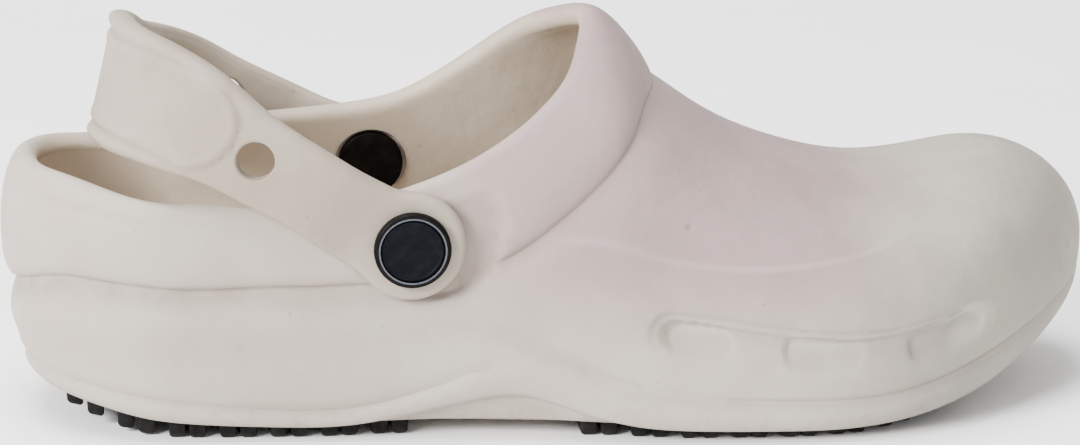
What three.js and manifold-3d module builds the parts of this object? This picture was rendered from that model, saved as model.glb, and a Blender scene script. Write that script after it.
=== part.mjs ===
// Chef clog for the right foot: one hollow foam moulding for upper and sole, a heel strap held
// by two rivets, and two black rubber pads with tread lugs let into the sole.
// Millimetres. +X runs to the toe, +Y to the inner side of the foot, +Z up, and the floor is z 0.
// Lengths along the shoe are counted from the back of the heel until the last lines.
import * as THREE from "three";
import { mergeVertices } from "three/addons/utils/BufferGeometryUtils.js";
import Module from "manifold-3d";

const wasm = await Module();
wasm.setup();

// Overall sizes
const LENGTH = 290;
const BALL_WIDTH = 107;
const INSTEP_HEIGHT = 105;
const SIDE_HEIGHT = 33;
const FOOTBED_HEIGHT = 34;
const COLLAR_HEIGHT = 72;
const COLLAR_WIDTH = 76;
const CLEARANCE = 0.3;

// Walls, rolls and steps of the moulding
const WALL = 6;
const BAND_WIDTH = 22;
const GROOVE_DEPTH = 3;
const GROOVE_FADE = 24;
const SEAM_HALF = 0.9;
const RIDGE_STEP = 1.3;
const LIP_PROUD = 1.2;
const LIP_SHAPE = { foot: 0.3, middle: 1, top: 0.7, groove: -0.2 };
const HEEL_ROUND = 44;
const TOE_ROUND = 88;
const HEEL_SLOPE = 36;
const TOE_SLOPE = 38;
const FOOTBED_FILLET = 9;
const FOOTBED_DISH = 2;

// Strap and rivets
const STRAP_THICKNESS = 5;
const STRAP_WIDTH = 34;
const STRAP_REACH = 74.9;
const STRAP_RISE = 35.8;
const STRAP_EDGE = 1.3;
const STRAP_HOLE = 9.8;
const STRAP_HOLE_BACK = 39.3;
const PANEL_RAISE = 0.8;
const PANEL_HALF = 11.5;
const PANEL_FROM = 0.25;
const PANEL_TO = 0.72;
const LOBE_RADIUS = 14;
const LOBE_SEAT = 1.2;
const LOBE_ROOM = 1;
const CRESCENT_ROOM = 4;
const CRESCENT_AHEAD = 6;
const CRESCENT_ABOVE = 3;
const RIVET_RADIUS = 4;
const CAP_RADIUS = 9.9;
const CAP_THICKNESS = 2.4;
const CAP_BEVEL = 0.9;
const BADGE_RADIUS = 7.9;
const BADGE_THICKNESS = 1;
const WASHER_RADIUS = 8.7;
const WASHER_THICKNESS = 2.2;
const WASHER_BEVEL = 0.6;
const WASHER_SUNK = 0.8;
const WASHER_ROOM = 1;
const RIVETS = [
  { side: -1, name: "lateral", along: 0.359, up: 0.51 },
  { side: 1, name: "medial", along: 0.34, up: 0.53 },
];

// Tread
const LUG_DEPTH = 4;
const LUG_LENGTH = 4.6;
const LUG_WIDTH = 13.5;
const LUG_TAPER = 0.35;
const LUG_PAIR_GAP = 0.7;
const LUG_ROW_GAP = 1.5;
const LUG_EDGE = 0.5;
const PAD_THICKNESS = 1.8;
const PAD_RIM = 1;
const PADS = [
  { name: "heel", from: 0.05, to: 0.362, columns: 3 },
  { name: "forefoot", from: 0.508, to: 0.862, columns: 4 },
];

// Windows in the outer side of the forefoot
const RECESS_DEPTH = 1.7;
const RECESS_HALF = 6.8;
const WINDOW_DEPTH = 1.1;
const WINDOW_HALF = 4.4;
const WINDOW_DROP = 0.8;

// Plan: half widths at the widest level as shares of the ball width, before the ends close
const PLAN = [
  { at: 0.0, lateral: 0.355, medial: 0.355, middle: 0.0 },
  { at: 0.15, lateral: 0.364, medial: 0.36, middle: 0.0 },
  { at: 0.4, lateral: 0.383, medial: 0.355, middle: -0.005 },
  { at: 0.55, lateral: 0.449, medial: 0.421, middle: 0.005 },
  { at: 0.7, lateral: 0.5, medial: 0.481, middle: 0.023 },
  { at: 0.85, lateral: 0.505, medial: 0.486, middle: 0.05 },
  { at: 1.0, lateral: 0.4, medial: 0.44, middle: 0.1 },
];

// Sections: widest level and crown as shares of the instep height, with the powers of the curve
const SECTIONS = [
  { at: 0.0, widest: 0.476, crown: 0.914, round: 2.2, flat: 2.0 },
  { at: 0.18, widest: 0.448, crown: 0.952, round: 2.2, flat: 2.0 },
  { at: 0.35, widest: 0.362, crown: 0.99, round: 2.1, flat: 2.0 },
  { at: 0.5, widest: 0.295, crown: 1.005, round: 1.95, flat: 1.9 },
  { at: 0.54, widest: 0.28, crown: 1.0, round: 1.9, flat: 1.9 },
  { at: 0.585, widest: 0.267, crown: 0.862, round: 1.95, flat: 1.9 },
  { at: 0.63, widest: 0.262, crown: 0.745, round: 2.0, flat: 1.95 },
  { at: 0.71, widest: 0.257, crown: 0.628, round: 2.15, flat: 2.1 },
  { at: 0.79, widest: 0.257, crown: 0.572, round: 2.3, flat: 2.2 },
  { at: 0.9, widest: 0.305, crown: 0.616, round: 2.3, flat: 2.3 },
  { at: 1.0, widest: 0.362, crown: 0.66, round: 2.2, flat: 2.2 },
];

// Side of the sole: bottom edge, lip and ridge as shares of the side height, and how far
// the bottom edge is drawn in under the widest level, as a share of the ball width
const SIDE = [
  { at: 0.0, edge: 0.29, lip: 0.47, ridge: 0.94, inset: 0.14 },
  { at: 0.06, edge: 0.26, lip: 0.41, ridge: 0.95, inset: 0.112 },
  { at: 0.14, edge: 0.18, lip: 0.32, ridge: 0.98, inset: 0.065 },
  { at: 0.23, edge: 0.13, lip: 0.23, ridge: 1.0, inset: 0.047 },
  { at: 0.31, edge: 0.14, lip: 0.24, ridge: 1.0, inset: 0.037 },
  { at: 0.37, edge: 0.25, lip: 0.39, ridge: 1.02, inset: 0.037 },
  { at: 0.42, edge: 0.36, lip: 0.545, ridge: 1.0, inset: 0.037 },
  { at: 0.455, edge: 0.39, lip: 0.57, ridge: 0.94, inset: 0.037 },
  { at: 0.5, edge: 0.28, lip: 0.47, ridge: 0.74, inset: 0.037 },
  { at: 0.545, edge: 0.165, lip: 0.3, ridge: 0.53, inset: 0.037 },
  { at: 0.6, edge: 0.115, lip: 0.205, ridge: 0.385, inset: 0.042 },
  { at: 0.69, edge: 0.105, lip: 0.19, ridge: 0.33, inset: 0.047 },
  { at: 0.78, edge: 0.115, lip: 0.21, ridge: 0.34, inset: 0.065 },
  { at: 0.85, edge: 0.18, lip: 0.28, ridge: 0.455, inset: 0.075 },
  { at: 0.92, edge: 0.31, lip: 0.46, ridge: 0.65, inset: 0.093 },
  { at: 1.0, edge: 0.56, lip: 0.74, ridge: 0.93, inset: 0.125 },
];

// Underside and footbed along the middle, above the lugs and above the floor
const BED = [
  { at: 0.0, under: 0.23, foot: 1.06 },
  { at: 0.045, under: 0.16, foot: 1.04 },
  { at: 0.09, under: 0.06, foot: 1.02 },
  { at: 0.14, under: 0.0, foot: 1.0 },
  { at: 0.3, under: 0.0, foot: 0.98 },
  { at: 0.45, under: 0.0, foot: 0.9 },
  { at: 0.6, under: 0.0, foot: 0.7 },
  { at: 0.77, under: 0.0, foot: 0.64 },
  { at: 0.85, under: 0.07, foot: 0.68 },
  { at: 0.92, under: 0.2, foot: 0.78 },
  { at: 1.0, under: 0.4, foot: 0.94 },
];

// Rim: its outer edge on both sides by share round the outline from the heel's back to the toe,
// as shares of the length, the collar's width and height, and the band under it as a share of its width
const RIM_OUTER = [
  { at: 0.0, along: 0.0155, across: 0.0, up: 0.965, band: 1.45 },
  { at: 0.05, along: 0.031, across: -0.25, up: 0.96, band: 1.3 },
  { at: 0.1, along: 0.071, across: -0.4, up: 0.935, band: 1.05 },
  { at: 0.17, along: 0.148, across: -0.49, up: 0.88, band: 0.93 },
  { at: 0.25, along: 0.245, across: -0.497, up: 0.835, band: 0.8 },
  { at: 0.33, along: 0.331, across: -0.49, up: 0.88, band: 0.9 },
  { at: 0.41, along: 0.397, across: -0.485, up: 0.96, band: 1.12 },
  { at: 0.5, along: 0.455, across: -0.46, up: 1.09, band: 1.05 },
  { at: 0.62, along: 0.502, across: -0.375, up: 1.255, band: 1.0 },
  { at: 0.78, along: 0.524, across: -0.205, up: 1.385, band: 1.02 },
  { at: 1.0, along: 0.535, across: 0.0, up: 1.46, band: 1.1 },
];
const RIM_INNER = [
  { at: 0.05, along: 0.031, across: 0.25, up: 0.94, band: 1.3 },
  { at: 0.1, along: 0.071, across: 0.405, up: 0.905, band: 1.05 },
  { at: 0.17, along: 0.145, across: 0.485, up: 0.895, band: 0.93 },
  { at: 0.25, along: 0.234, across: 0.462, up: 0.935, band: 0.8 },
  { at: 0.33, along: 0.317, across: 0.43, up: 0.975, band: 0.9 },
  { at: 0.41, along: 0.372, across: 0.42, up: 1.025, band: 1.12 },
  { at: 0.5, along: 0.424, across: 0.392, up: 1.155, band: 1.05 },
  { at: 0.62, along: 0.471, across: 0.325, up: 1.31, band: 1.0 },
  { at: 0.78, along: 0.507, across: 0.2, up: 1.415, band: 1.02 },
];

// Strap from one rivet to the other round the heel: reach back, spread and rise as shares of the
// strap's reach, of the lobe's distance from the middle and of the rise; half its width and lean
const STRAP = [
  { side: -1, back: 0.0, out: 1.0, up: 0.0, half: 0.345, lean: 0 },
  { side: -1, back: 0.187, out: 1.03, up: 0.215, half: 0.335, lean: 0 },
  { side: -1, back: 0.34, out: 1.04, up: 0.436, half: 0.322, lean: 1 },
  { side: -1, back: 0.451, out: 1.025, up: 0.575, half: 0.333, lean: 2 },
  { side: -1, back: 0.555, out: 1.0, up: 0.71, half: 0.35, lean: 4 },
  { side: -1, back: 0.657, out: 0.953, up: 0.845, half: 0.396, lean: 7 },
  { side: -1, back: 0.772, out: 0.86, up: 0.962, half: 0.455, lean: 9 },
  { side: -1, back: 0.89, out: 0.677, up: 1.035, half: 0.483, lean: 11 },
  { side: -1, back: 0.964, out: 0.423, up: 1.04, half: 0.5, lean: 12.5 },
  { side: 0, back: 1.0, out: 0.0, up: 1.0, half: 0.506, lean: 13 },
  { side: 1, back: 0.961, out: 0.446, up: 0.89, half: 0.46, lean: 12.5 },
  { side: 1, back: 0.882, out: 0.72, up: 0.84, half: 0.385, lean: 11 },
  { side: 1, back: 0.748, out: 0.97, up: 0.745, half: 0.325, lean: 8 },
  { side: 1, back: 0.62, out: 1.09, up: 0.585, half: 0.313, lean: 4 },
  { side: 1, back: 0.52, out: 1.11, up: 0.46, half: 0.32, lean: 2 },
  { side: 1, back: 0.41, out: 1.11, up: 0.34, half: 0.327, lean: 1 },
  { side: 1, back: 0.288, out: 1.09, up: 0.22, half: 0.33, lean: 0 },
  { side: 1, back: 0.15, out: 1.045, up: 0.11, half: 0.335, lean: 0 },
  { side: 1, back: 0.0, out: 1.0, up: 0.0, half: 0.345, lean: 0 },
];

// Middle line of the window recess as shares of the length and of the side height
const RECESS = [
  { at: 0.567, up: 0.92 },
  { at: 0.63, up: 0.85 },
  { at: 0.69, up: 0.765 },
  { at: 0.75, up: 0.72 },
  { at: 0.81, up: 0.755 },
  { at: 0.88, up: 0.865 },
];
const WINDOWS = [
  { from: 0.581, to: 0.645 },
  { from: 0.687, to: 0.763 },
  { from: 0.803, to: 0.868 },
];

// Steps of the meshes
const STATIONS = 31;
const LINE_STEPS = 60;
const SIDE_ROWS = 8;
const BAND_ROWS = 2;
const LINING_ROWS = 7;
const FILLET_ROWS = 3;
const ACROSS = [0.03, 0.07, 0.14, 0.5, 0.86, 0.93, 0.97];
const DISC_SIDES = 24;
const STRAP_STEPS = 40;
const PANEL_STEPS = 16;
const RECESS_STEPS = 16;
const RECESS_LANES = 4;
const END_SHARE = 0.3;
const STEP = 1e-3;
const NEAR_RIM = 1.97;

// Smooth curves through the rows of a table
function spline(knots, values) {
  const n = knots.length;
  const bend = new Array(n).fill(0);
  const pivot = new Array(n).fill(0);
  for (let i = 1; i < n - 1; i++) {
    const before = knots[i] - knots[i - 1];
    const after = knots[i + 1] - knots[i];
    const turn = (values[i + 1] - values[i]) / after - (values[i] - values[i - 1]) / before;
    const d = 2 * (before + after) - before * pivot[i - 1];
    pivot[i] = after / d;
    bend[i] = (6 * turn - before * bend[i - 1]) / d;
  }
  for (let i = n - 2; i > 0; i--) bend[i] -= pivot[i] * bend[i + 1];
  return (at) => {
    const x = Math.min(Math.max(at, knots[0]), knots[n - 1]);
    let i = 0;
    while (i < n - 2 && x > knots[i + 1]) i++;
    const h = knots[i + 1] - knots[i];
    const a = (knots[i + 1] - x) / h;
    const b = (x - knots[i]) / h;
    const cubic = (a ** 3 - a) * bend[i] + (b ** 3 - b) * bend[i + 1];
    return a * values[i] + b * values[i + 1] + (cubic * h * h) / 6;
  };
}

function along(rows, key, unit) {
  const f = spline(rows.map((r) => r.at), rows.map((r) => r[key] * unit));
  return (x) => f(x / LENGTH);
}

// A loop through both sides: 0 at the heel's back, 1 at the toe by the outer side, 2 back again
function around(key, unit) {
  const loop = RIM_OUTER.map((r) => [r.at, r[key] * unit]);
  for (const r of [...RIM_INNER].reverse()) loop.push([2 - r.at, r[key] * unit]);
  const wrapped = [-2, 0, 2].flatMap((turn) => loop.map(([at, v]) => [at + turn, v]));
  return spline(wrapped.map((p) => p[0]), wrapped.map((p) => p[1]));
}

const lateralHalf = along(PLAN, "lateral", BALL_WIDTH);
const medialHalf = along(PLAN, "medial", BALL_WIDTH);
const middle = along(PLAN, "middle", BALL_WIDTH);
const widest = along(SECTIONS, "widest", INSTEP_HEIGHT);
const crownTable = along(SECTIONS, "crown", INSTEP_HEIGHT);
const roundPower = along(SECTIONS, "round", 1);
const flatPower = along(SECTIONS, "flat", 1);
const edgeHeight = along(SIDE, "edge", SIDE_HEIGHT);
const lipHeight = along(SIDE, "lip", SIDE_HEIGHT);
const ridgeHeight = along(SIDE, "ridge", SIDE_HEIGHT);
const edgeInset = along(SIDE, "inset", BALL_WIDTH);
const underRise = along(BED, "under", FOOTBED_HEIGHT);
const footHeight = along(BED, "foot", FOOTBED_HEIGHT);
const rimAlong = around("along", LENGTH);
const rimAcross = around("across", COLLAR_WIDTH);
const rimUp = around("up", COLLAR_HEIGHT);
const bandWidth = around("band", BAND_WIDTH);

// Vectors as arrays of three
const add = (a, b, k = 1) => [a[0] + b[0] * k, a[1] + b[1] * k, a[2] + b[2] * k];
const minus = (a, b) => add(a, b, -1);
const dot = (a, b) => a[0] * b[0] + a[1] * b[1] + a[2] * b[2];
const cross = (a, b) => [
  a[1] * b[2] - a[2] * b[1],
  a[2] * b[0] - a[0] * b[2],
  a[0] * b[1] - a[1] * b[0],
];
const unit = (a) => add([0, 0, 0], a, 1 / Math.hypot(...a));
const mix = (a, b, k) => add(a, minus(b, a), k);

// Outline in plan, round at both ends
const HEEL_POWER = 2.15;
const TOE_POWER = 2.25;
const CLOSE_POWER = 2.05;
const WALL_POWER = 2.6;

function closing(distance, reach, power) {
  const share = Math.min(Math.max(1 - distance / reach, 0), 1);
  return (1 - share ** power) ** (1 / power);
}

function halfWidth(x, side) {
  const half = side < 0 ? lateralHalf(x) : medialHalf(x);
  return half * closing(x, HEEL_ROUND, HEEL_POWER) * closing(LENGTH - x, TOE_ROUND, TOE_POWER);
}

function crown(x) {
  const ends = closing(x, HEEL_SLOPE, CLOSE_POWER) * closing(LENGTH - x, TOE_SLOPE, CLOSE_POWER);
  return widest(x) + (crownTable(x) - widest(x)) * ends;
}

// Height of the form over a point of the plan, above the widest level
function roofHeight(x, y) {
  const side = y < middle(x) ? -1 : 1;
  const eta = Math.min(Math.abs(y - middle(x)) / Math.max(halfWidth(x, side), 1e-6), 1);
  const rise = (1 - eta ** roundPower(x)) ** (1 / flatPower(x));
  return widest(x) + (crown(x) - widest(x)) * rise;
}

// Half width of the form at a height above the widest level
function halfAt(x, z, side) {
  const zeta = Math.min(Math.max((z - widest(x)) / (crown(x) - widest(x)), 0), 1);
  return halfWidth(x, side) * (1 - zeta ** flatPower(x)) ** (1 / roundPower(x));
}

// How far the side is drawn in at a height under the widest level
function drawnIn(x, z) {
  const share = Math.min(Math.max((widest(x) - z) / (widest(x) - edgeHeight(x)), 0), 1);
  return edgeInset(x) * (1 - (1 - share ** WALL_POWER) ** (1 / WALL_POWER));
}

// Distance from the middle plane to the form's side, at a height
function sideAt(x, z, side) {
  const reach = z > widest(x) ? halfAt(x, z, side) : halfWidth(x, side) - drawnIn(x, z);
  return middle(x) + side * reach;
}

// Places along the length that spread evenly round the outline
const outlineSteps = (() => {
  const places = [];
  const steps = 1000;
  let run = 0;
  let last = null;
  for (let i = 0; i <= steps; i++) {
    const x = (LENGTH * (1 - Math.cos((Math.PI * i) / steps))) / 2;
    const y = (halfWidth(x, -1) + halfWidth(x, 1)) / 2;
    if (last) run += Math.hypot(x - last[0], y - last[1]);
    last = [x, y];
    places.push([run, x]);
  }
  return places.map(([r, x]) => [r / run, x]);
})();

function outlineX(share) {
  let low = 0;
  let high = outlineSteps.length - 1;
  while (high - low > 1) {
    const half = (low + high) >> 1;
    if (outlineSteps[half][0] < share) low = half;
    else high = half;
  }
  const [a, b] = [outlineSteps[low], outlineSteps[high]];
  return a[1] + ((b[1] - a[1]) * (share - a[0])) / (b[0] - a[0]);
}

const wrap = (turn) => ((turn % 2) + 2) % 2;
const sideOf = (turn) => (turn <= 1 ? -1 : 1);
const shareOf = (turn) => (turn <= 1 ? turn : 2 - turn);

function outline(turn) {
  const t = wrap(turn);
  const x = outlineX(shareOf(t));
  return [x, middle(x) + sideOf(t) * halfWidth(x, sideOf(t)), widest(x)];
}

function outlineNormal(turn) {
  const run = minus(outline(turn + STEP), outline(turn - STEP));
  return unit([run[1], -run[0], 0]);
}

function rim(turn) {
  const t = wrap(turn);
  return [rimAlong(t), rimAcross(t), rimUp(t)];
}

// The form: level 0 at the bottom edge, 1 at the widest level, 2 at the rim
function form(turn, level) {
  const o = outline(turn);
  const x = o[0];
  if (level <= 1) {
    const sink = Math.sin(((1 - level) * Math.PI) / 2);
    const z = o[2] - (o[2] - edgeHeight(x)) * sink;
    const p = add(o, outlineNormal(turn), -drawnIn(x, z));
    return [p[0], p[1], z];
  }
  const edge = rim(turn);
  const lift = 1 - Math.cos(((level - 1) * Math.PI) / 2);
  const p = mix(o, edge, lift);
  const miss = edge[2] - roofHeight(edge[0], edge[1]);
  return [p[0], p[1], roofHeight(p[0], p[1]) + miss * lift ** 2];
}

function normal(turn, level) {
  const up = minus(form(turn, Math.min(level + STEP, 2)), form(turn, Math.max(level - STEP, 0)));
  const round = minus(form(turn + STEP, level), form(turn - STEP, level));
  return unit(cross(round, up));
}

// Levels at a height on the side, or at a distance under the rim
function levelsOf(turn) {
  const points = [];
  for (let i = 0; i <= LINE_STEPS; i++) points.push(form(turn, (2 * i) / LINE_STEPS));
  const below = [0];
  for (let i = LINE_STEPS; i > 0; i--) {
    below.unshift(below[0] + Math.hypot(...minus(points[i], points[i - 1])));
  }
  const atHeight = (z) => {
    let i = 0;
    while (i < LINE_STEPS / 2 - 1 && points[i + 1][2] < z) i++;
    const k = (z - points[i][2]) / (points[i + 1][2] - points[i][2]);
    return (2 * (i + Math.min(Math.max(k, 0), 1))) / LINE_STEPS;
  };
  const underRim = (distance) => {
    let i = LINE_STEPS;
    while (i > 1 && below[i - 1] < distance) i--;
    const k = (distance - below[i]) / (below[i - 1] - below[i]);
    return (2 * (i - Math.min(Math.max(k, 0), 1))) / LINE_STEPS;
  };
  const distance = (level) => {
    const i = Math.min(Math.floor((level * LINE_STEPS) / 2), LINE_STEPS - 1);
    return below[i] + (below[i + 1] - below[i]) * ((level * LINE_STEPS) / 2 - i);
  };
  return { atHeight, underRim, distance };
}

// One line of points from the bottom edge over the rim and down to the footbed
function shellLine(turn) {
  const x = outline(turn)[0];
  const { atHeight, underRim, distance } = levelsOf(turn);
  const band = bandWidth(wrap(turn));
  const lip = lipHeight(x);
  const ridge = ridgeHeight(x);
  const rows = [
    { level: 0, proud: LIP_SHAPE.foot * LIP_PROUD },
    { level: atHeight((edgeHeight(x) + lip) / 2), proud: LIP_SHAPE.middle * LIP_PROUD },
    { level: atHeight(lip - SEAM_HALF), proud: LIP_SHAPE.top * LIP_PROUD },
    { level: atHeight(lip + SEAM_HALF), proud: LIP_SHAPE.groove * LIP_PROUD },
    { level: atHeight((lip + ridge) / 2), proud: 0 },
    { level: atHeight(ridge - SEAM_HALF), proud: RIDGE_STEP / 2 },
    { level: atHeight(ridge + SEAM_HALF), proud: -RIDGE_STEP / 2 },
  ];
  const start = rows[rows.length - 1].level;
  const stop = underRim(band + SEAM_HALF);
  for (let i = 1; i <= SIDE_ROWS; i++) {
    const level = start + ((stop - start) * i) / SIDE_ROWS;
    const fade = Math.max(1 - (distance(level) - band - SEAM_HALF) / GROOVE_FADE, 0) ** 2;
    rows.push({ level, proud: -GROOVE_DEPTH * Math.min(fade, 1) });
  }
  for (let i = 0; i <= BAND_ROWS; i++) {
    rows.push({ level: underRim((band - SEAM_HALF) * (1 - i / BAND_ROWS)), proud: 0 });
  }
  const line = rows.map((r) => add(form(turn, r.level), normal(turn, r.level), r.proud));
  const out = normal(turn, 2);
  const edge = form(turn, 2);
  const climb = minus(edge, form(turn, NEAR_RIM));
  const rise = unit(add(climb, out, -dot(climb, out)));
  const centre = add(edge, out, -WALL / 2);
  for (const angle of [45, 90, 135]) {
    const a = THREE.MathUtils.degToRad(angle);
    line.push(add(add(centre, out, (WALL / 2) * Math.cos(a)), rise, (WALL / 2) * Math.sin(a)));
  }
  const depth = distance(1);
  for (let i = 0; i <= LINING_ROWS; i++) {
    const level = underRim((depth * i) / LINING_ROWS);
    line.push(add(form(turn, level), normal(turn, level), -WALL));
  }
  const o = outline(turn);
  const across = outlineNormal(turn);
  for (let i = 1; i <= FILLET_ROWS; i++) {
    const a = (Math.PI * i) / (2 * FILLET_ROWS);
    const p = add(o, across, -WALL - FOOTBED_FILLET * (1 - Math.cos(a)));
    p[2] = o[2] - (o[2] - footHeight(x)) * Math.sin(a);
    line.push(p);
  }
  return line;
}

// Closed meshes and solids
function solid(points, faces) {
  const geometry = new THREE.BufferGeometry();
  geometry.setAttribute("position", new THREE.Float32BufferAttribute(points.flat(), 3));
  geometry.setIndex(faces.flat());
  return solidOf(geometry);
}

function solidOf(geometry) {
  geometry.deleteAttribute("normal");
  geometry.deleteAttribute("uv");
  const merged = mergeVertices(geometry, 1e-4);
  return new wasm.Manifold(
    new wasm.Mesh({
      numProp: 3,
      vertProperties: new Float32Array(merged.attributes.position.array),
      triVerts: new Uint32Array(merged.index.array),
    }),
  );
}

function disc(radius, depth, x, y, z, side) {
  const geometry = new THREE.CylinderGeometry(radius, radius, depth, DISC_SIDES);
  geometry.translate(0, depth / 2, 0);
  if (side < 0) geometry.rotateX(Math.PI);
  geometry.translate(x, y, z);
  return solidOf(geometry);
}

// A closed slab of two skins: rows and lanes of points, the second skin on the side that
// rows crossed with lanes point to
function slab(rows, lanes, pointAt) {
  const points = [];
  const faces = [];
  for (const skin of [0, 1]) {
    for (let i = 0; i <= rows; i++) {
      for (let j = 0; j <= lanes; j++) points.push(pointAt(skin, i, j));
    }
  }
  const at = (skin, i, j) => (skin * (rows + 1) + i) * (lanes + 1) + j;
  const quad = (a, b, c, d) => faces.push([a, b, c], [a, c, d]);
  for (let i = 0; i < rows; i++) {
    for (let j = 0; j < lanes; j++) {
      quad(at(0, i, j), at(0, i, j + 1), at(0, i + 1, j + 1), at(0, i + 1, j));
      quad(at(1, i, j), at(1, i + 1, j), at(1, i + 1, j + 1), at(1, i, j + 1));
    }
    quad(at(0, i, 0), at(0, i + 1, 0), at(1, i + 1, 0), at(1, i, 0));
    quad(at(0, i, lanes), at(1, i, lanes), at(1, i + 1, lanes), at(0, i + 1, lanes));
  }
  for (let j = 0; j < lanes; j++) {
    quad(at(0, 0, j), at(1, 0, j), at(1, 0, j + 1), at(0, 0, j + 1));
    quad(at(0, rows, j), at(0, rows, j + 1), at(1, rows, j + 1), at(1, rows, j));
  }
  return solid(points, faces);
}

// Closes a loop of stations with rows across it, the height of each point worked out by a function
function ladder(points, faces, loop, height, down) {
  const last = STATIONS;
  const rows = [];
  for (let i = 1; i < last; i++) {
    const [a, b] = [loop[i], loop[2 * last - i]];
    const row = [a];
    for (const share of ACROSS) {
      const p = mix(points[a], points[b], share);
      row.push(points.push([p[0], p[1], height(p, points[a], points[b], share)]) - 1);
    }
    row.push(b);
    rows.push(row);
  }
  const face = (a, b, c) => faces.push(down ? [a, b, c] : [a, c, b]);
  for (let j = 0; j + 1 < rows[0].length; j++) {
    face(loop[0], rows[0][j + 1], rows[0][j]);
    face(loop[last], rows[rows.length - 1][j], rows[rows.length - 1][j + 1]);
    for (let i = 0; i + 1 < rows.length; i++) {
      face(rows[i][j], rows[i][j + 1], rows[i + 1][j + 1]);
      face(rows[i][j], rows[i + 1][j + 1], rows[i + 1][j]);
    }
  }
}

// Underside: low along the middle, rising to the bottom edge of each side
const EDGE_POWER = 24;
const underside = (x) => LUG_DEPTH + Math.max(underRise(x), 0);

function undersideAt(x, share, edge) {
  const spread = Math.abs(2 * share - 1) ** EDGE_POWER;
  return underside(x) + (edge - underside(x)) * spread;
}

function shellBody() {
  const points = [];
  const faces = [];
  const count = 2 * STATIONS;
  let rows = 0;
  for (let i = 0; i < count; i++) {
    const line = shellLine((2 * i) / count);
    rows = line.length;
    points.push(...line);
  }
  const at = (i, j) => ((i + count) % count) * rows + j;
  for (let i = 0; i < count; i++) {
    for (let j = 0; j < rows - 1; j++) {
      faces.push([at(i, j), at(i + 1, j), at(i + 1, j + 1)]);
      faces.push([at(i, j), at(i + 1, j + 1), at(i, j + 1)]);
    }
  }
  const loop = (j) => Array.from({ length: count }, (_, i) => at(i, j));
  ladder(points, faces, loop(0), (p, a, b, share) => {
    return undersideAt(p[0], share, a[2] + (b[2] - a[2]) * share);
  }, true);
  ladder(points, faces, loop(rows - 1), (p, a, b, share) => {
    return p[2] - FOOTBED_DISH * (1 - (2 * share - 1) ** 2);
  }, false);
  return solid(points, faces);
}

// Share of the full width left near the ends of a stretch that runs from -1 to 1
const SLOT_POWER = 3;
const PANEL_POWER = 4;

function rounded(s, power) {
  return Math.max((1 - Math.abs(s) ** power) ** (1 / power), END_SHARE);
}

// Slab that reaches a depth into a stretch of the outer side, round at its ends
const recessMiddle = along(RECESS, "up", SIDE_HEIGHT);

function sideSlab(from, to, half, drop, depth) {
  return slab(RECESS_STEPS, RECESS_LANES, (skin, i, j) => {
    const s = -Math.cos((Math.PI * i) / RECESS_STEPS);
    const x = LENGTH * (from + ((to - from) * (s + 1)) / 2);
    const z = recessMiddle(x) - drop + half * rounded(s, SLOT_POWER) * ((2 * j) / RECESS_LANES - 1);
    return [x, sideAt(x, z, -1) + (skin ? -WALL : depth), z];
  });
}

// Where each rivet crosses the side, and the planes that its pieces seat on
function rivetSeat({ side, along: share, up }) {
  const x = share * LENGTH;
  const z = up * INSTEP_HEIGHT;
  const skin = Math.abs(sideAt(x, z, side));
  const seat = skin - LOBE_SEAT;
  const lobe = seat + CLEARANCE;
  const inside = skin - WALL + WASHER_SUNK;
  return { x, z, side, seat, lobe, cap: lobe + STRAP_THICKNESS + CLEARANCE, inside };
}

// Rubber pads: a plate let into the underside, and lugs in pairs down to the floor
const PAD_SHARE = 0.93;
const PAD_STEPS = 8;
const PAD_LANES = 4;

function padHalf(x, side, grow) {
  return (halfWidth(x, side) - edgeInset(x)) * PAD_SHARE + grow;
}

function padPoint(x, lane, grow) {
  const [low, high] = [-padHalf(x, -1, grow), padHalf(x, 1, grow)];
  const y = middle(x) + low + (high - low) * lane;
  const inner = 0.5 + (lane - 0.5) * PAD_SHARE;
  return [x, y, undersideAt(x, inner, edgeHeight(x))];
}

function padPlate(pad, grow, thickness, sink) {
  return slab(PAD_STEPS, PAD_LANES, (skin, i, j) => {
    const x = LENGTH * (pad.from + ((pad.to - pad.from) * i) / PAD_STEPS);
    const end = i === 0 ? -grow : i === PAD_STEPS ? grow : 0;
    const p = padPoint(x + end, j / PAD_LANES, grow);
    return [p[0], p[1], p[2] + (skin ? thickness : -sink)];
  });
}

function lug(x, y, floor, top) {
  const geometry = new THREE.BoxGeometry(LUG_LENGTH, LUG_WIDTH, top - floor);
  const place = geometry.attributes.position;
  for (let i = 0; i < place.count; i++) {
    if (place.getZ(i) > 0) continue;
    place.setX(i, place.getX(i) - Math.sign(place.getX(i)) * LUG_TAPER);
    place.setY(i, place.getY(i) - Math.sign(place.getY(i)) * LUG_TAPER);
  }
  geometry.translate(x, y, (top + floor) / 2);
  return solidOf(geometry);
}

// How far from the middle the outermost lug of a row may stand, on one side
function lugReach(x, side) {
  const ends = [x - LUG_LENGTH / 2, x + LUG_LENGTH / 2];
  return Math.min(...ends.map((end) => padHalf(end, side, 0))) - LUG_WIDTH / 2 - LUG_EDGE;
}

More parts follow.
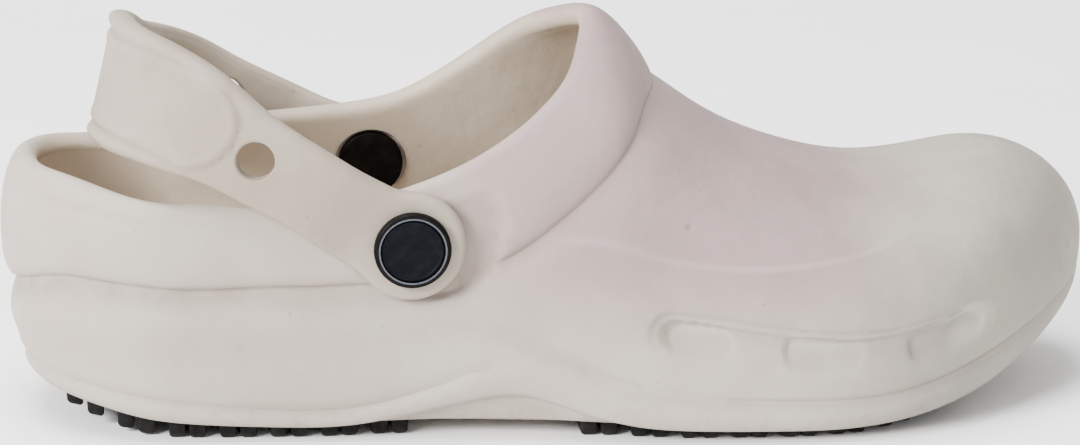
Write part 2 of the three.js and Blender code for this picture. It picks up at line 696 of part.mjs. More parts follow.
function treadPad(pad) {
  let body = padPlate(pad, 0, PAD_THICKNESS, 0);
  const pitch = 2 * LUG_LENGTH + LUG_PAIR_GAP + LUG_ROW_GAP;
  const length = (pad.to - pad.from) * LENGTH - 2 * PAD_RIM;
  const pairs = Math.max(Math.floor((length + LUG_ROW_GAP) / pitch), 1);
  const spread = (length + LUG_ROW_GAP - pairs * pitch) / Math.max(pairs - 1, 1);
  for (let i = 0; i < 2 * pairs; i++) {
    const pair = Math.floor(i / 2);
    const offset = pair * (pitch + spread) + (i % 2) * (LUG_LENGTH + LUG_PAIR_GAP);
    const x = pad.from * LENGTH + PAD_RIM + LUG_LENGTH / 2 + offset;
    const [low, high] = [middle(x) - lugReach(x, -1), middle(x) + lugReach(x, 1)];
    for (let j = 0; j < pad.columns; j++) {
      const y = low + ((high - low) * j) / (pad.columns - 1);
      const top = underside(x) + PAD_THICKNESS / 2;
      body = body.add(lug(x, y, underside(x) - LUG_DEPTH, top));
    }
  }
  return body;
}

function mouldedShell(seats) {
  const [first, last] = [RECESS[0].at, RECESS[RECESS.length - 1].at];
  let body = shellBody();
  body = body.subtract(sideSlab(first, last, RECESS_HALF, 0, RECESS_DEPTH));
  for (const w of WINDOWS) {
    const depth = RECESS_DEPTH + WINDOW_DEPTH;
    body = body.subtract(sideSlab(w.from, w.to, WINDOW_HALF, WINDOW_DROP, depth));
  }
  const bite = 2 * WALL;
  for (const s of seats) {
    const [x, z] = [s.x + CRESCENT_AHEAD, s.z + CRESCENT_ABOVE];
    const cuts = [
      disc(LOBE_RADIUS + LOBE_ROOM, bite, s.x, s.side * s.seat, s.z, s.side),
      disc(LOBE_RADIUS + CRESCENT_ROOM, bite, x, s.side * s.seat, z, s.side),
      disc(WASHER_RADIUS + WASHER_ROOM, bite, s.x, s.side * s.inside, s.z, -s.side),
      disc(RIVET_RADIUS + CLEARANCE, 3 * bite, s.x, s.side * (s.inside - bite), s.z, s.side),
    ];
    for (const cut of cuts) body = body.subtract(cut);
  }
  for (const pad of PADS) {
    body = body.subtract(padPlate(pad, CLEARANCE, PAD_THICKNESS + CLEARANCE, 2 * LUG_DEPTH));
  }
  return body;
}

// Strap: a band with chamfered edges swept round the heel, with a flat round lobe at each rivet
function strapCurves(seats) {
  const lobes = new Map(seats.map((s) => [s.side, s]));
  const rear = lobes.get(-1).x - STRAP_REACH;
  const knots = STRAP.map((row, i) => i / (STRAP.length - 1));
  const place = (row) => {
    const s = lobes.get(row.side || -1);
    const spread = row.side * (s.lobe + STRAP_THICKNESS / 2) * row.out;
    const base = row.side ? s.z + (lobes.get(-1).z - s.z) * row.back : s.z;
    return [s.x - (s.x - rear) * row.back, spread, base + row.up * STRAP_RISE];
  };
  const places = STRAP.map(place);
  const axis = [0, 1, 2].map((k) => spline(knots, places.map((p) => p[k])));
  const half = spline(knots, STRAP.map((r) => r.half * STRAP_WIDTH));
  const lean = spline(knots, STRAP.map((r) => r.lean));
  return { at: (k) => axis.map((f) => f(k)), half, lean };
}

function strapFrame(curves, share) {
  const [a, b] = [Math.max(share - STEP, 0), Math.min(share + STEP, 1)];
  const run = unit(minus(curves.at(b), curves.at(a)));
  const flat = unit([-run[1], run[0], 0]);
  const tilt = THREE.MathUtils.degToRad(curves.lean(share));
  const out = unit(add(flat.map((v) => v * Math.cos(tilt)), [0, 0, 1], Math.sin(tilt)));
  const up = unit(cross(run, out));
  return { centre: curves.at(share), up: up[2] < 0 ? up.map((v) => -v) : up, out };
}

function heelStrap(seats) {
  const curves = strapCurves(seats);
  const steps = STRAP_STEPS;
  const points = [];
  const faces = [];
  const t = STRAP_THICKNESS / 2;
  for (let i = 0; i <= steps; i++) {
    const { centre, up, out } = strapFrame(curves, i / steps);
    const h = curves.half(i / steps);
    const section = [
      [h - STRAP_EDGE, t], [h, t - STRAP_EDGE], [h, STRAP_EDGE - t], [h - STRAP_EDGE, -t],
      [STRAP_EDGE - h, -t], [-h, STRAP_EDGE - t], [-h, t - STRAP_EDGE], [STRAP_EDGE - h, t],
    ];
    points.push(...section.map(([a, b]) => add(add(centre, up, a), out, b)));
  }
  const n = 8;
  for (let i = 0; i < steps; i++) {
    for (let j = 0; j < n; j++) {
      const [a, b] = [i * n + j, i * n + ((j + 1) % n)];
      faces.push([a, b + n, a + n], [a, b, b + n]);
    }
  }
  for (let j = 1; j < n - 1; j++) {
    faces.push([0, j + 1, j], [steps * n, steps * n + j, steps * n + j + 1]);
  }
  let body = solid(points, faces).add(strapPanel(curves));
  for (const s of seats) {
    body = body.add(disc(LOBE_RADIUS, STRAP_THICKNESS, s.x, s.side * s.lobe, s.z, s.side));
  }
  const bite = 4 * STRAP_THICKNESS;
  for (const s of seats) {
    const start = s.side * (s.lobe - STRAP_THICKNESS);
    const [x, , z] = curves.at(holeShare(curves, s));
    const cuts = [
      disc(LOBE_RADIUS, bite, s.x, s.side * s.lobe, s.z, -s.side),
      disc(CAP_RADIUS + CLEARANCE, bite, s.x, s.side * (s.cap - CLEARANCE), s.z, s.side),
      disc(RIVET_RADIUS + CLEARANCE, bite, s.x, start, s.z, s.side),
      disc(STRAP_HOLE / 2, bite, x, start, z, s.side),
    ];
    for (const cut of cuts) body = body.subtract(cut);
  }
  return body;
}

// Plain raised panel round the back of the strap
function strapPanel(curves) {
  return slab(PANEL_STEPS, 2, (skin, i, j) => {
    const s = -Math.cos((Math.PI * i) / PANEL_STEPS);
    const share = PANEL_FROM + ((PANEL_TO - PANEL_FROM) * (s + 1)) / 2;
    const { centre, up, out } = strapFrame(curves, share);
    const room = Math.min(PANEL_HALF, curves.half(share) - 2 * STRAP_EDGE);
    const lift = STRAP_THICKNESS / 2 + (skin ? -STRAP_EDGE : PANEL_RAISE);
    return add(add(centre, up, room * rounded(s, PANEL_POWER) * (j - 1)), out, lift);
  });
}

// Where along the strap a hole lies, a set distance behind its rivet
function holeShare(curves, seat) {
  const goal = seat.x - STRAP_HOLE_BACK;
  let [near, far] = seat.side < 0 ? [0, 0.5] : [1, 0.5];
  for (let i = 0; i < 40; i++) {
    const half = (near + far) / 2;
    if (curves.at(half)[0] > goal) near = half;
    else far = half;
  }
  return near;
}

// Turned pieces of a rivet: profiles as pairs of radius and distance from the middle plane
function turned(profile, seat) {
  const outline = profile.map(([r, d]) => new THREE.Vector2(r, d));
  const geometry = new THREE.LatheGeometry(outline, DISC_SIDES);
  if (seat.side < 0) geometry.rotateX(Math.PI);
  geometry.translate(seat.x, 0, seat.z);
  return solidOf(geometry);
}

function rivetCap(s) {
  const top = s.cap + CAP_THICKNESS;
  const recess = BADGE_RADIUS + CLEARANCE;
  return turned([
    [0, s.inside - WASHER_THICKNESS / 2],
    [RIVET_RADIUS, s.inside - WASHER_THICKNESS / 2],
    [RIVET_RADIUS, s.cap],
    [CAP_RADIUS, s.cap],
    [CAP_RADIUS, top - CAP_BEVEL],
    [CAP_RADIUS - CAP_BEVEL, top],
    [recess, top],
    [recess, top - BADGE_THICKNESS],
    [0, top - BADGE_THICKNESS],
  ], s);
}

function badge(s) {
  const base = s.cap + CAP_THICKNESS - BADGE_THICKNESS + CLEARANCE;
  const top = base + BADGE_THICKNESS - CLEARANCE;
  return turned([[0, base], [BADGE_RADIUS, base], [BADGE_RADIUS, top], [0, top]], s);
}

function washer(s) {
  const face = s.inside - CLEARANCE;
  const bore = RIVET_RADIUS + CLEARANCE;
  const blind = s.inside - WASHER_THICKNESS / 2 - CLEARANCE;
  return turned([
    [0, face - WASHER_THICKNESS],
    [WASHER_RADIUS - WASHER_BEVEL, face - WASHER_THICKNESS],
    [WASHER_RADIUS, face - WASHER_THICKNESS + WASHER_BEVEL],
    [WASHER_RADIUS, face],
    [bore, face],
    [bore, blind],
    [0, blind],
  ], s);
}

// Materials and the assembly
const foam = new THREE.MeshStandardMaterial({ color: 0xc8c1bb, roughness: 0.75, metalness: 0 });
const rubber = new THREE.MeshStandardMaterial({ color: 0x1d1b1a, roughness: 0.8, metalness: 0 });
const plastic = new THREE.MeshStandardMaterial({ color: 0x201c1a, roughness: 0.45, metalness: 0 });
const plate = new THREE.MeshStandardMaterial({ color: 0x2b2827, roughness: 0.4, metalness: 0 });

const clog = new THREE.Group();

function place(name, body, material) {
  const { numProp, vertProperties, triVerts } = body.getMesh();
  const points = [];
  for (let i = 0; i < vertProperties.length; i += numProp) {
    points.push(...vertProperties.subarray(i, i + 3));
  }
  const geometry = new THREE.BufferGeometry();
  geometry.setAttribute("position", new THREE.Float32BufferAttribute(points, 3));
  geometry.setIndex([...triVerts]);
  geometry.computeVertexNormals();
  const mesh = new THREE.Mesh(geometry, material);
  mesh.name = name;
  clog.add(mesh);
}

const seats = RIVETS.map(rivetSeat);
place("moulded_shell", mouldedShell(seats), foam);
place("heel_strap", heelStrap(seats), foam);
for (const pad of PADS) place(`tread_pad_${pad.name}`, treadPad(pad), rubber);
RIVETS.forEach((rivet, i) => {
  place(`rivet_cap_${rivet.name}`, rivetCap(seats[i]), plastic);
  place(`rivet_badge_${rivet.name}`, badge(seats[i]), plate);
  place(`rivet_washer_${rivet.name}`, washer(seats[i]), plastic);
});

const box = new THREE.Box3().setFromObject(clog);
const centre = box.getCenter(new THREE.Vector3());
clog.position.set(-centre.x, -centre.y, -box.min.z);

export default clog;
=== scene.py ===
# Looks of the chef clog: fine meshes, procedural materials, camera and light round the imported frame.
# Tables and lengths are millimetres in the shoe's own frame: x runs from the back of the heel to
# the toe, y to the inner side of the foot, z up from the floor. Meshes are turned to metres last.
import math

import bmesh
import bpy
import numpy as np
from mathutils import Matrix, Vector


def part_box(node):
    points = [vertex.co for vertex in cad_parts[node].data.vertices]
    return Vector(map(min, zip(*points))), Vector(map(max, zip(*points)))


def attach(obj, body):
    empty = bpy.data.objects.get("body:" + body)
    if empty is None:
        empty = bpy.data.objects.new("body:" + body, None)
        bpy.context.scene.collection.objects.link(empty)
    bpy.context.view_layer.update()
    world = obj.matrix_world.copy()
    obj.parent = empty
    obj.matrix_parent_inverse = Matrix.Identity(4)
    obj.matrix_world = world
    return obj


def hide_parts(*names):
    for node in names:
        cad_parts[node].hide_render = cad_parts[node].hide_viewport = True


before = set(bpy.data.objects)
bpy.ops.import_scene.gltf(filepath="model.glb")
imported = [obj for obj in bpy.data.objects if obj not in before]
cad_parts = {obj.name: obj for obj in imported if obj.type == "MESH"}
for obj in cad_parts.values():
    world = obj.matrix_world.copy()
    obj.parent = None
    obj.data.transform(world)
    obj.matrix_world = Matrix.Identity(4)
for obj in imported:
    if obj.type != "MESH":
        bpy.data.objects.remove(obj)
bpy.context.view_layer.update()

BODY = "root"

# Overall sizes
LENGTH = 290.0
BALL_WIDTH = 107.0
INSTEP_HEIGHT = 105.0
SIDE_HEIGHT = 33.0
FOOTBED_HEIGHT = 34.0
COLLAR_HEIGHT = 72.0
COLLAR_WIDTH = 76.0
CLEARANCE = 0.3

# Walls and ends of the moulding
WALL = 6.0
BAND_WIDTH = 22.0
HEEL_ROUND, HEEL_POWER = 44.0, 2.15
TOE_ROUND, TOE_POWER = 88.0, 2.25
HEEL_SLOPE, TOE_SLOPE, CLOSE_POWER = 36.0, 38.0, 2.05
WALL_POWER = 2.6
EDGE_POWER = 48
FOOTBED_FILLET = 9.0
FOOTBED_DISH = 2.0

# Strap and rivets
STRAP_THICKNESS = 5.0
STRAP_WIDTH = 34.0
STRAP_REACH = 74.9
STRAP_RISE = 35.8
STRAP_HOLE = 9.8
STRAP_HOLE_BACK = 39.3
STRAP_HOLE_ROUND = 0.8
STRAP_ROUND = 2.1
STRAP_FLAT_FROM, STRAP_FLAT_TO = 11.0, 26.0
STRAP_BACK = 0.485
STRAP_BACK_FROM, STRAP_BACK_TO = 0.17, 0.27
TOP_BEAD, TOP_BEAD_IN = 1.3, 2.4
LOW_BEAD, LOW_BEAD_IN = 0.9, 2.2
BEAD_SPREAD = 2.0
PANEL_RAISE = 0.8
PANEL_HALF = 11.5
PANEL_FROM, PANEL_TO = 0.25, 0.72
LOBE_RADIUS = 14.0
LOBE_SEAT = 1.2
LOBE_ROOM = 1.0
LOBE_POWER = 10.0
CRESCENT_ROOM = 4.0
CRESCENT_AHEAD, CRESCENT_ABOVE = 6.0, 3.0
RIVET_RADIUS = 4.0
CAP_RADIUS = 9.9
CAP_THICKNESS = 2.4
CAP_ROUND = 0.85
RING = (8.35, 8.75)
BADGE_RADIUS = 7.9
BADGE_THICKNESS = 1.0
BADGE_SUNK = 0.12
BADGE_STEP, BADGE_DISH = 0.12, 0.08
WASHER_RADIUS = 8.7
WASHER_THICKNESS = 2.2
WASHER_SUNK = 0.8
WASHER_ROOM = 1.0
RIVETS = {-1: ("lateral", 0.359, 0.51), 1: ("medial", 0.34, 0.53)}

# Tread
LUG_DEPTH = 4.0
LUG_LENGTH = 4.6
LUG_WIDTH = 13.5
LUG_TAPER = 0.35
LUG_PAIR_GAP = 0.7
LUG_ROW_GAP = 1.5
LUG_EDGE = 0.2
LUG_ROUND = 0.55
PAD_THICKNESS = 1.8
PAD_RIM = 1.0
PADS = (("heel", 0.05, 0.362, 3), ("forefoot", 0.508, 0.862, 4))


def table(names, *rows):
    """Columns of a table by name."""
    return {name: np.array(column, float) for name, column in zip(names.split(), zip(*rows))}


# How much of the sole's half width the pads take, less beside the arch
PAD_SHARE = table(
    "at share",
    (0.0, 0.985),
    (0.27, 0.985),
    (0.34, 0.93),
    (0.53, 0.93),
    (0.6, 0.985),
    (1.0, 0.985),
)

# How much of their depth the lugs have along the shoe
LUG_SHARE = table(
    "at share",
    (0.05, 0.78),
    (0.12, 1.0),
    (0.76, 1.0),
    (0.862, 0.62),
)

# Plan: half widths at the widest level as shares of the ball width
PLAN = table(
    "at lateral medial middle",
    (0.0, 0.355, 0.355, 0.0),
    (0.15, 0.364, 0.36, 0.0),
    (0.4, 0.383, 0.355, -0.005),
    (0.55, 0.449, 0.421, 0.005),
    (0.7, 0.5, 0.481, 0.023),
    (0.85, 0.505, 0.486, 0.05),
    (1.0, 0.4, 0.44, 0.1),
)

# Sections: widest level and crown as shares of the instep height, with the powers of the curve
SECTIONS = table(
    "at widest crown round flat",
    (0.0, 0.476, 0.914, 2.2, 2.0),
    (0.18, 0.448, 0.952, 2.2, 2.0),
    (0.35, 0.362, 0.99, 2.1, 2.0),
    (0.5, 0.295, 1.005, 1.95, 1.9),
    (0.54, 0.28, 1.0, 1.9, 1.9),
    (0.585, 0.267, 0.862, 1.95, 1.9),
    (0.63, 0.262, 0.745, 2.0, 1.95),
    (0.71, 0.257, 0.628, 2.15, 2.1),
    (0.79, 0.257, 0.572, 2.3, 2.2),
    (0.9, 0.305, 0.616, 2.3, 2.3),
    (1.0, 0.362, 0.66, 2.2, 2.2),
)

# Side of the sole as shares of the side height, and its inset as a share of the ball width
SIDE = table(
    "at edge lip ridge inset",
    (0.0, 0.29, 0.47, 0.94, 0.14),
    (0.06, 0.26, 0.41, 0.95, 0.112),
    (0.14, 0.18, 0.32, 0.98, 0.065),
    (0.23, 0.13, 0.23, 1.0, 0.047),
    (0.31, 0.14, 0.24, 1.0, 0.037),
    (0.37, 0.25, 0.39, 1.02, 0.037),
    (0.42, 0.36, 0.545, 1.0, 0.037),
    (0.455, 0.39, 0.57, 0.94, 0.037),
    (0.5, 0.28, 0.47, 0.74, 0.037),
    (0.545, 0.165, 0.3, 0.53, 0.037),
    (0.6, 0.115, 0.205, 0.385, 0.042),
    (0.69, 0.105, 0.19, 0.33, 0.047),
    (0.78, 0.115, 0.21, 0.34, 0.065),
    (0.85, 0.18, 0.28, 0.455, 0.075),
    (0.92, 0.31, 0.46, 0.65, 0.093),
    (1.0, 0.56, 0.74, 0.93, 0.125),
)

# Underside above the lugs and footbed above the floor, as shares of the footbed's height
BED = table(
    "at under foot",
    (0.0, 0.23, 1.06),
    (0.045, 0.16, 1.04),
    (0.09, 0.06, 1.02),
    (0.14, 0.0, 1.0),
    (0.3, 0.0, 0.98),
    (0.45, 0.0, 0.9),
    (0.6, 0.0, 0.7),
    (0.77, 0.0, 0.64),
    (0.85, 0.07, 0.68),
    (0.92, 0.2, 0.78),
    (1.0, 0.4, 0.94),
)

# Rim on both sides, by share round the outline from the heel's back to the toe
RIM_OUTER = table(
    "at along across up band",
    (0.0, 0.0155, 0.0, 0.965, 1.45),
    (0.05, 0.031, -0.25, 0.96, 1.3),
    (0.1, 0.071, -0.4, 0.935, 1.05),
    (0.17, 0.148, -0.49, 0.88, 0.93),
    (0.25, 0.245, -0.497, 0.835, 0.8),
    (0.33, 0.331, -0.49, 0.88, 0.9),
    (0.41, 0.397, -0.485, 0.96, 1.12),
    (0.5, 0.455, -0.46, 1.09, 1.05),
    (0.62, 0.502, -0.375, 1.255, 1.0),
    (0.78, 0.524, -0.205, 1.385, 1.02),
    (1.0, 0.535, 0.0, 1.46, 1.1),
)
RIM_INNER = table(
    "at along across up band",
    (0.05, 0.031, 0.25, 0.94, 1.3),
    (0.1, 0.071, 0.405, 0.905, 1.05),
    (0.17, 0.145, 0.485, 0.895, 0.93),
    (0.25, 0.234, 0.462, 0.935, 0.8),
    (0.33, 0.317, 0.43, 0.975, 0.9),
    (0.41, 0.372, 0.42, 1.025, 1.12),
    (0.5, 0.424, 0.392, 1.155, 1.05),
    (0.62, 0.471, 0.325, 1.31, 1.0),
    (0.78, 0.507, 0.2, 1.415, 1.02),
)

# Strap from one rivet to the other round the heel
STRAP = table(
    "side back out up half lean",
    (-1, 0.0, 1.0, 0.0, 0.345, 0),
    (-1, 0.187, 1.03, 0.215, 0.335, 0),
    (-1, 0.34, 1.04, 0.436, 0.322, 1),
    (-1, 0.451, 1.025, 0.575, 0.333, 2),
    (-1, 0.555, 1.0, 0.71, 0.35, 4),
    (-1, 0.657, 0.953, 0.845, 0.396, 7),
    (-1, 0.772, 0.86, 0.962, 0.455, 9),
    (-1, 0.89, 0.677, 1.035, 0.483, 11),
    (-1, 0.964, 0.423, 1.04, 0.5, 12.5),
    (0, 1.0, 0.0, 1.0, 0.506, 13),
    (1, 0.961, 0.446, 0.89, 0.46, 12.5),
    (1, 0.882, 0.72, 0.84, 0.385, 11),
    (1, 0.748, 0.97, 0.745, 0.325, 8),
    (1, 0.62, 1.09, 0.585, 0.313, 4),
    (1, 0.52, 1.11, 0.46, 0.32, 2),
    (1, 0.41, 1.11, 0.34, 0.327, 1),
    (1, 0.288, 1.09, 0.22, 0.33, 0),
    (1, 0.15, 1.045, 0.11, 0.335, 0),
    (1, 0.0, 1.0, 0.0, 0.345, 0),
)

# Recess and windows in the outer side of the forefoot
RECESS = table(
    "at up",
    (0.567, 0.92),
    (0.63, 0.85),
    (0.69, 0.765),
    (0.75, 0.72),
    (0.81, 0.755),
    (0.889, 0.88),
)
RECESS_STEP = 1.3
RECESS_DEPTH = 1.9
RECESS_HALF = 6.8
RECESS_BEVEL = 1.1
RECESS_LEDGE = 2.1
WINDOW_DEPTH = 1.7
WINDOW_HALF = 4.9
WINDOW_DROP = 0.4
WINDOW_CORNER = 4.4
WINDOW_BEVEL = 1.3
WINDOWS = ((0.581, 0.645), (0.687, 0.763), (0.803, 0.882))

# Painted shade lines and painted light in the recess: depths with their spread, and shares of the length
STEP_SHADE_LINES = ((0.55, 0.45), (2.1, 0.6))
SHADE_AND_LIGHT_ABOVE = 0.45 * RECESS_HALF
FRONT_END = (0.835, 0.865)
LEDGE_END = (0.68, 0.8)

# How strong the lip's groove, the ridge's hollow and the groove under the roll are along the shoe
RELIEF = table(
    "at flange lip_groove shoulder cove cove_drop cove_wide",
    (0.0, 1.1, 0.8, 0.6, 0.5, 9.0, 3.5),
    (0.12, 1.1, 0.9, 1.1, 0.8, 8.0, 4.0),
    (0.3, 1.1, 0.9, 0.9, 0.8, 7.0, 4.0),
    (0.4, 1.1, 0.5, 0.3, 1.1, 3.5, 3.2),
    (0.5, 1.1, 0.15, 0.15, 1.4, 2.6, 2.6),
    (0.6, 1.3, 0.0, 0.0, 1.6, 1.2, 2.1),
    (0.75, 1.3, 0.0, 0.0, 1.7, 0.5, 1.8),
    (0.88, 1.2, 0.0, 0.0, 1.2, 0.4, 1.8),
    (0.95, 0.7, 0.0, 0.0, 0.5, 0.3, 2.2),
    (1.0, 0.25, 0.0, 0.0, 0.1, 0.3, 2.5),
)
SHOULDER_UP, SHOULDER_DOWN = 5.0, 9.0
FLANGE_BLEND = (0.4, 0.58)
LIP_GROOVE_ABOVE, LIP_GROOVE_SPREAD = 1.0, 1.7
ROLL = table(
    "at depth turn near",
    (0.0, 3.4, 8.5, 5.5),
    (0.2, 3.2, 6.5, 4.4),
    (0.4, 2.8, 7.0, 5.0),
    (0.55, 2.0, 9.5, 6.0),
    (0.8, 1.7, 9.5, 6.5),
    (1.0, 1.7, 10.0, 6.5),
)
GROOVE_FADE = 24.0
ROLL_SWELL = 0.5
CONTOUR_FROM, CONTOUR_TO = (0.02, 0.05), (0.16, 0.22)
CONTOUR_GROOVE = (-0.45, 6.0, 0.9)
CONTOUR_RIDGE = (0.2, 3.6, 1.4)

# How far below the band's lower edge the crease runs at the heel
CREASE_DROP = table(
    "at drop",
    (0.0, 2.6),
    (0.045, 2.4),
    (0.08, 2.9),
    (0.135, 2.6),
    (0.2, 3.3),
    (0.27, 3.5),
    (0.34, 1.5),
    (0.4, 0.0),
    (1.0, 0.0),
)

# Fine line that the vamp's panel ends in, on the outer side and round over the toe
PANEL_LINE = (
    (131.0, -38.5, 57.5),
    (138.5, -40.4, 55.6),
    (147.7, -42.8, 54.4),
    (156.0, -44.2, 53.6),
    (163.6, -45.3, 51.2),
    (172.0, -45.9, 49.0),
    (181.5, -46.0, 47.4),
    (194.8, -45.9, 46.6),
    (208.3, -44.4, 47.1),
    (219.5, -41.4, 48.1),
    (227.0, -38.0, 49.6),
    (233.8, -33.6, 51.8),
    (239.5, -29.0, 54.0),
)
TOE_LINE = PANEL_LINE[-2:] + (
    (244.0, -23.6, 56.5),
    (246.8, -18.0, 58.8),
    (248.4, -10.0, 60.8),
    (248.7, -2.6, 61.7),
    (247.6, 8.1, 61.7),
    (245.0, 18.5, 60.4),
)
PANEL_STEP, PANEL_SOFT, PANEL_FADE = 0.5, 0.8, (1.5, 11.0)
PANEL_EDGE = 0.15
PANEL_ENDS, PANEL_REACH = 0.16, 14.0
TOE_STEP, TOE_SOFT, TOE_FADE = 0.55, 3.2, (4.0, 14.0)
TOE_ENDS, TOE_REACH = 0.3, 18.0

# Steps of the meshes, closer together between two places along the shoe
DENSER = 1.6
DENSE_FROM, DENSE_TO = (146, 166), (258, 274)
STATIONS = 242
LINE_STEPS = 160
ROWS = (9, 12, 50, 24, 22)
CLUSTER = (0.4, 0.55, 0.2, 0.45, 0.3)
CLOSE_BAND = 46.0
RIM_STEPS = 8
LINING_ROWS = 26
FILLET_ROWS = 7
LANES = 22
LOBE_STEPS = 16
STRAP_BODY_STEPS = 230
STRAP_LANES = 44
STRAP_RIM_STEPS = 8
LATHE_SIDES = 96
HOLE_SIDES = 72
STEP = 1e-3
NEAR_RIM = 1.97


def spline(knots, values):
    """Natural cubic spline through the knots."""
    knots = np.asarray(knots, float)
    values = np.asarray(values, float)
    count = len(knots)
    gap = np.diff(knots)
    system = np.eye(count)
    turn = np.zeros(count)
    for i in range(1, count - 1):
        system[i, i - 1:i + 2] = gap[i - 1], 2 * (gap[i - 1] + gap[i]), gap[i]
        turn[i] = 6 * ((values[i + 1] - values[i]) / gap[i] - (values[i] - values[i - 1]) / gap[i - 1])
    bend = np.linalg.solve(system, turn)

    def at(place):
        place = np.clip(np.asarray(place, float), knots[0], knots[-1])
        i = np.clip(np.searchsorted(knots, place) - 1, 0, count - 2)
        a = (knots[i + 1] - place) / gap[i]
        b = (place - knots[i]) / gap[i]
        cubic = (a ** 3 - a) * bend[i] + (b ** 3 - b) * bend[i + 1]
        return a * values[i] + b * values[i + 1] + cubic * gap[i] ** 2 / 6

    return at


def along(rows, key, unit=1.0):
    curve = spline(rows["at"], rows[key] * unit)
    return lambda x: curve(np.asarray(x, float) / LENGTH)


def around(key, unit=1.0):
    """A loop through both sides: 0 at the heel's back, 1 at the toe by the outer side, 2 back again."""
    at = np.concatenate([RIM_OUTER["at"], 2 - RIM_INNER["at"][::-1]])
    values = np.concatenate([RIM_OUTER[key], RIM_INNER[key][::-1]]) * unit
    return spline(np.concatenate([at - 2, at, at + 2]), np.tile(values, 3))


def straight(rows, key):
    """Straight lines through a table of relief."""
    return lambda share: np.interp(share, rows["at"], rows[key])


lateral_half = along(PLAN, "lateral", BALL_WIDTH)
medial_half = along(PLAN, "medial", BALL_WIDTH)
middle = along(PLAN, "middle", BALL_WIDTH)
widest = along(SECTIONS, "widest", INSTEP_HEIGHT)
crown_table = along(SECTIONS, "crown", INSTEP_HEIGHT)
round_power = along(SECTIONS, "round")
flat_power = along(SECTIONS, "flat")
edge_height = along(SIDE, "edge", SIDE_HEIGHT)
lip_height = along(SIDE, "lip", SIDE_HEIGHT)
ridge_height = along(SIDE, "ridge", SIDE_HEIGHT)
edge_inset = along(SIDE, "inset", BALL_WIDTH)
under_rise = along(BED, "under", FOOTBED_HEIGHT)
foot_height = along(BED, "foot", FOOTBED_HEIGHT)
recess_middle = along(RECESS, "up", SIDE_HEIGHT)
rim_along = around("along", LENGTH)
rim_across = around("across", COLLAR_WIDTH)
rim_up = around("up", COLLAR_HEIGHT)
band_width = around("band", BAND_WIDTH)


# Vectors and soft steps
def unit(a):
    return a / np.maximum(np.linalg.norm(a, axis=-1, keepdims=True), 1e-12)


def stack(x, y, z):
    return np.stack(np.broadcast_arrays(x, y, z), axis=-1).astype(float)


def soft(low, high, value):
    """0 at low, 1 at high, smooth between."""
    share = np.clip((value - low) / (high - low), 0, 1)
    return share * share * (3 - 2 * share)


def bell(offset, width):
    return np.exp(-(offset / width) ** 2)


# The form of the moulding
def closing(distance, reach, power):
    share = np.clip(1 - distance / reach, 0, 1)
    return (1 - share ** power) ** (1 / power)


def half_width(x, side):
    half = np.where(side < 0, lateral_half(x), medial_half(x))
    return half * closing(x, HEEL_ROUND, HEEL_POWER) * closing(LENGTH - x, TOE_ROUND, TOE_POWER)


def crown(x):
    ends = closing(x, HEEL_SLOPE, CLOSE_POWER) * closing(LENGTH - x, TOE_SLOPE, CLOSE_POWER)
    return widest(x) + (crown_table(x) - widest(x)) * ends


def roof_height(x, y):
    side = np.where(y < middle(x), -1, 1)
    share = np.abs(y - middle(x)) / np.maximum(half_width(x, side), 1e-6)
    rise = (1 - np.minimum(share, 1) ** round_power(x)) ** (1 / flat_power(x))
    return widest(x) + (crown(x) - widest(x)) * rise


def half_at(x, z, side):
    share = np.clip((z - widest(x)) / (crown(x) - widest(x)), 0, 1)
    return half_width(x, side) * (1 - share ** flat_power(x)) ** (1 / round_power(x))


def drawn_in(x, z):
    share = np.clip((widest(x) - z) / (widest(x) - edge_height(x)), 0, 1)
    return edge_inset(x) * (1 - (1 - share ** WALL_POWER) ** (1 / WALL_POWER))


def side_at(x, z, side):
    low = half_width(x, side) - drawn_in(x, z)
    return middle(x) + side * np.where(z > widest(x), half_at(x, z, side), low)


def outline_table(steps=1000):
    x = LENGTH * (1 - np.cos(np.pi * np.arange(steps + 1) / steps)) / 2
    y = (half_width(x, -1) + half_width(x, 1)) / 2
    run = np.concatenate([[0], np.cumsum(np.hypot(np.diff(x), np.diff(y)))])
    return run / run[-1], x


OUTLINE_SHARE, OUTLINE_X = outline_table()


def share_of(turn):
    t = np.mod(turn, 2)
    return np.where(t <= 1, t, 2 - t)


def outline(turn):
    side = np.where(np.mod(turn, 2) <= 1, -1, 1)
    x = np.interp(share_of(turn), OUTLINE_SHARE, OUTLINE_X)
    return stack(x, middle(x) + side * half_width(x, side), widest(x))


def outline_normal(turn):
    run = outline(turn + STEP) - outline(turn - STEP)
    return unit(stack(run[..., 1], -run[..., 0], 0))


def rim(turn):
    t = np.mod(turn, 2)
    return stack(rim_along(t), rim_across(t), rim_up(t))


def form(turn, level):
    """The form: level 0 at the bottom edge, 1 at the widest level, 2 at the rim."""
    turn, level = np.broadcast_arrays(np.asarray(turn, float), np.asarray(level, float))
    start = outline(turn)
    x = start[..., 0]
    sink = np.sin((1 - np.minimum(level, 1)) * np.pi / 2)
    low_z = start[..., 2] - (start[..., 2] - edge_height(x)) * sink
    low = start - outline_normal(turn) * drawn_in(x, low_z)[..., None]
    low[..., 2] = low_z
    edge = rim(turn)
    lift = 1 - np.cos((np.maximum(level, 1) - 1) * np.pi / 2)
    high = start + (edge - start) * lift[..., None]
    miss = edge[..., 2] - roof_height(edge[..., 0], edge[..., 1])
    high[..., 2] = roof_height(high[..., 0], high[..., 1]) + miss * lift ** 2
    return np.where((level <= 1)[..., None], low, high)


def form_normal(turn, level):
    turn, level = np.broadcast_arrays(np.asarray(turn, float), np.asarray(level, float))
    up = form(turn, np.minimum(level + STEP, 2)) - form(turn, np.maximum(level - STEP, 0))
    run = form(turn + STEP, level) - form(turn - STEP, level)
    return unit(np.cross(run, up))


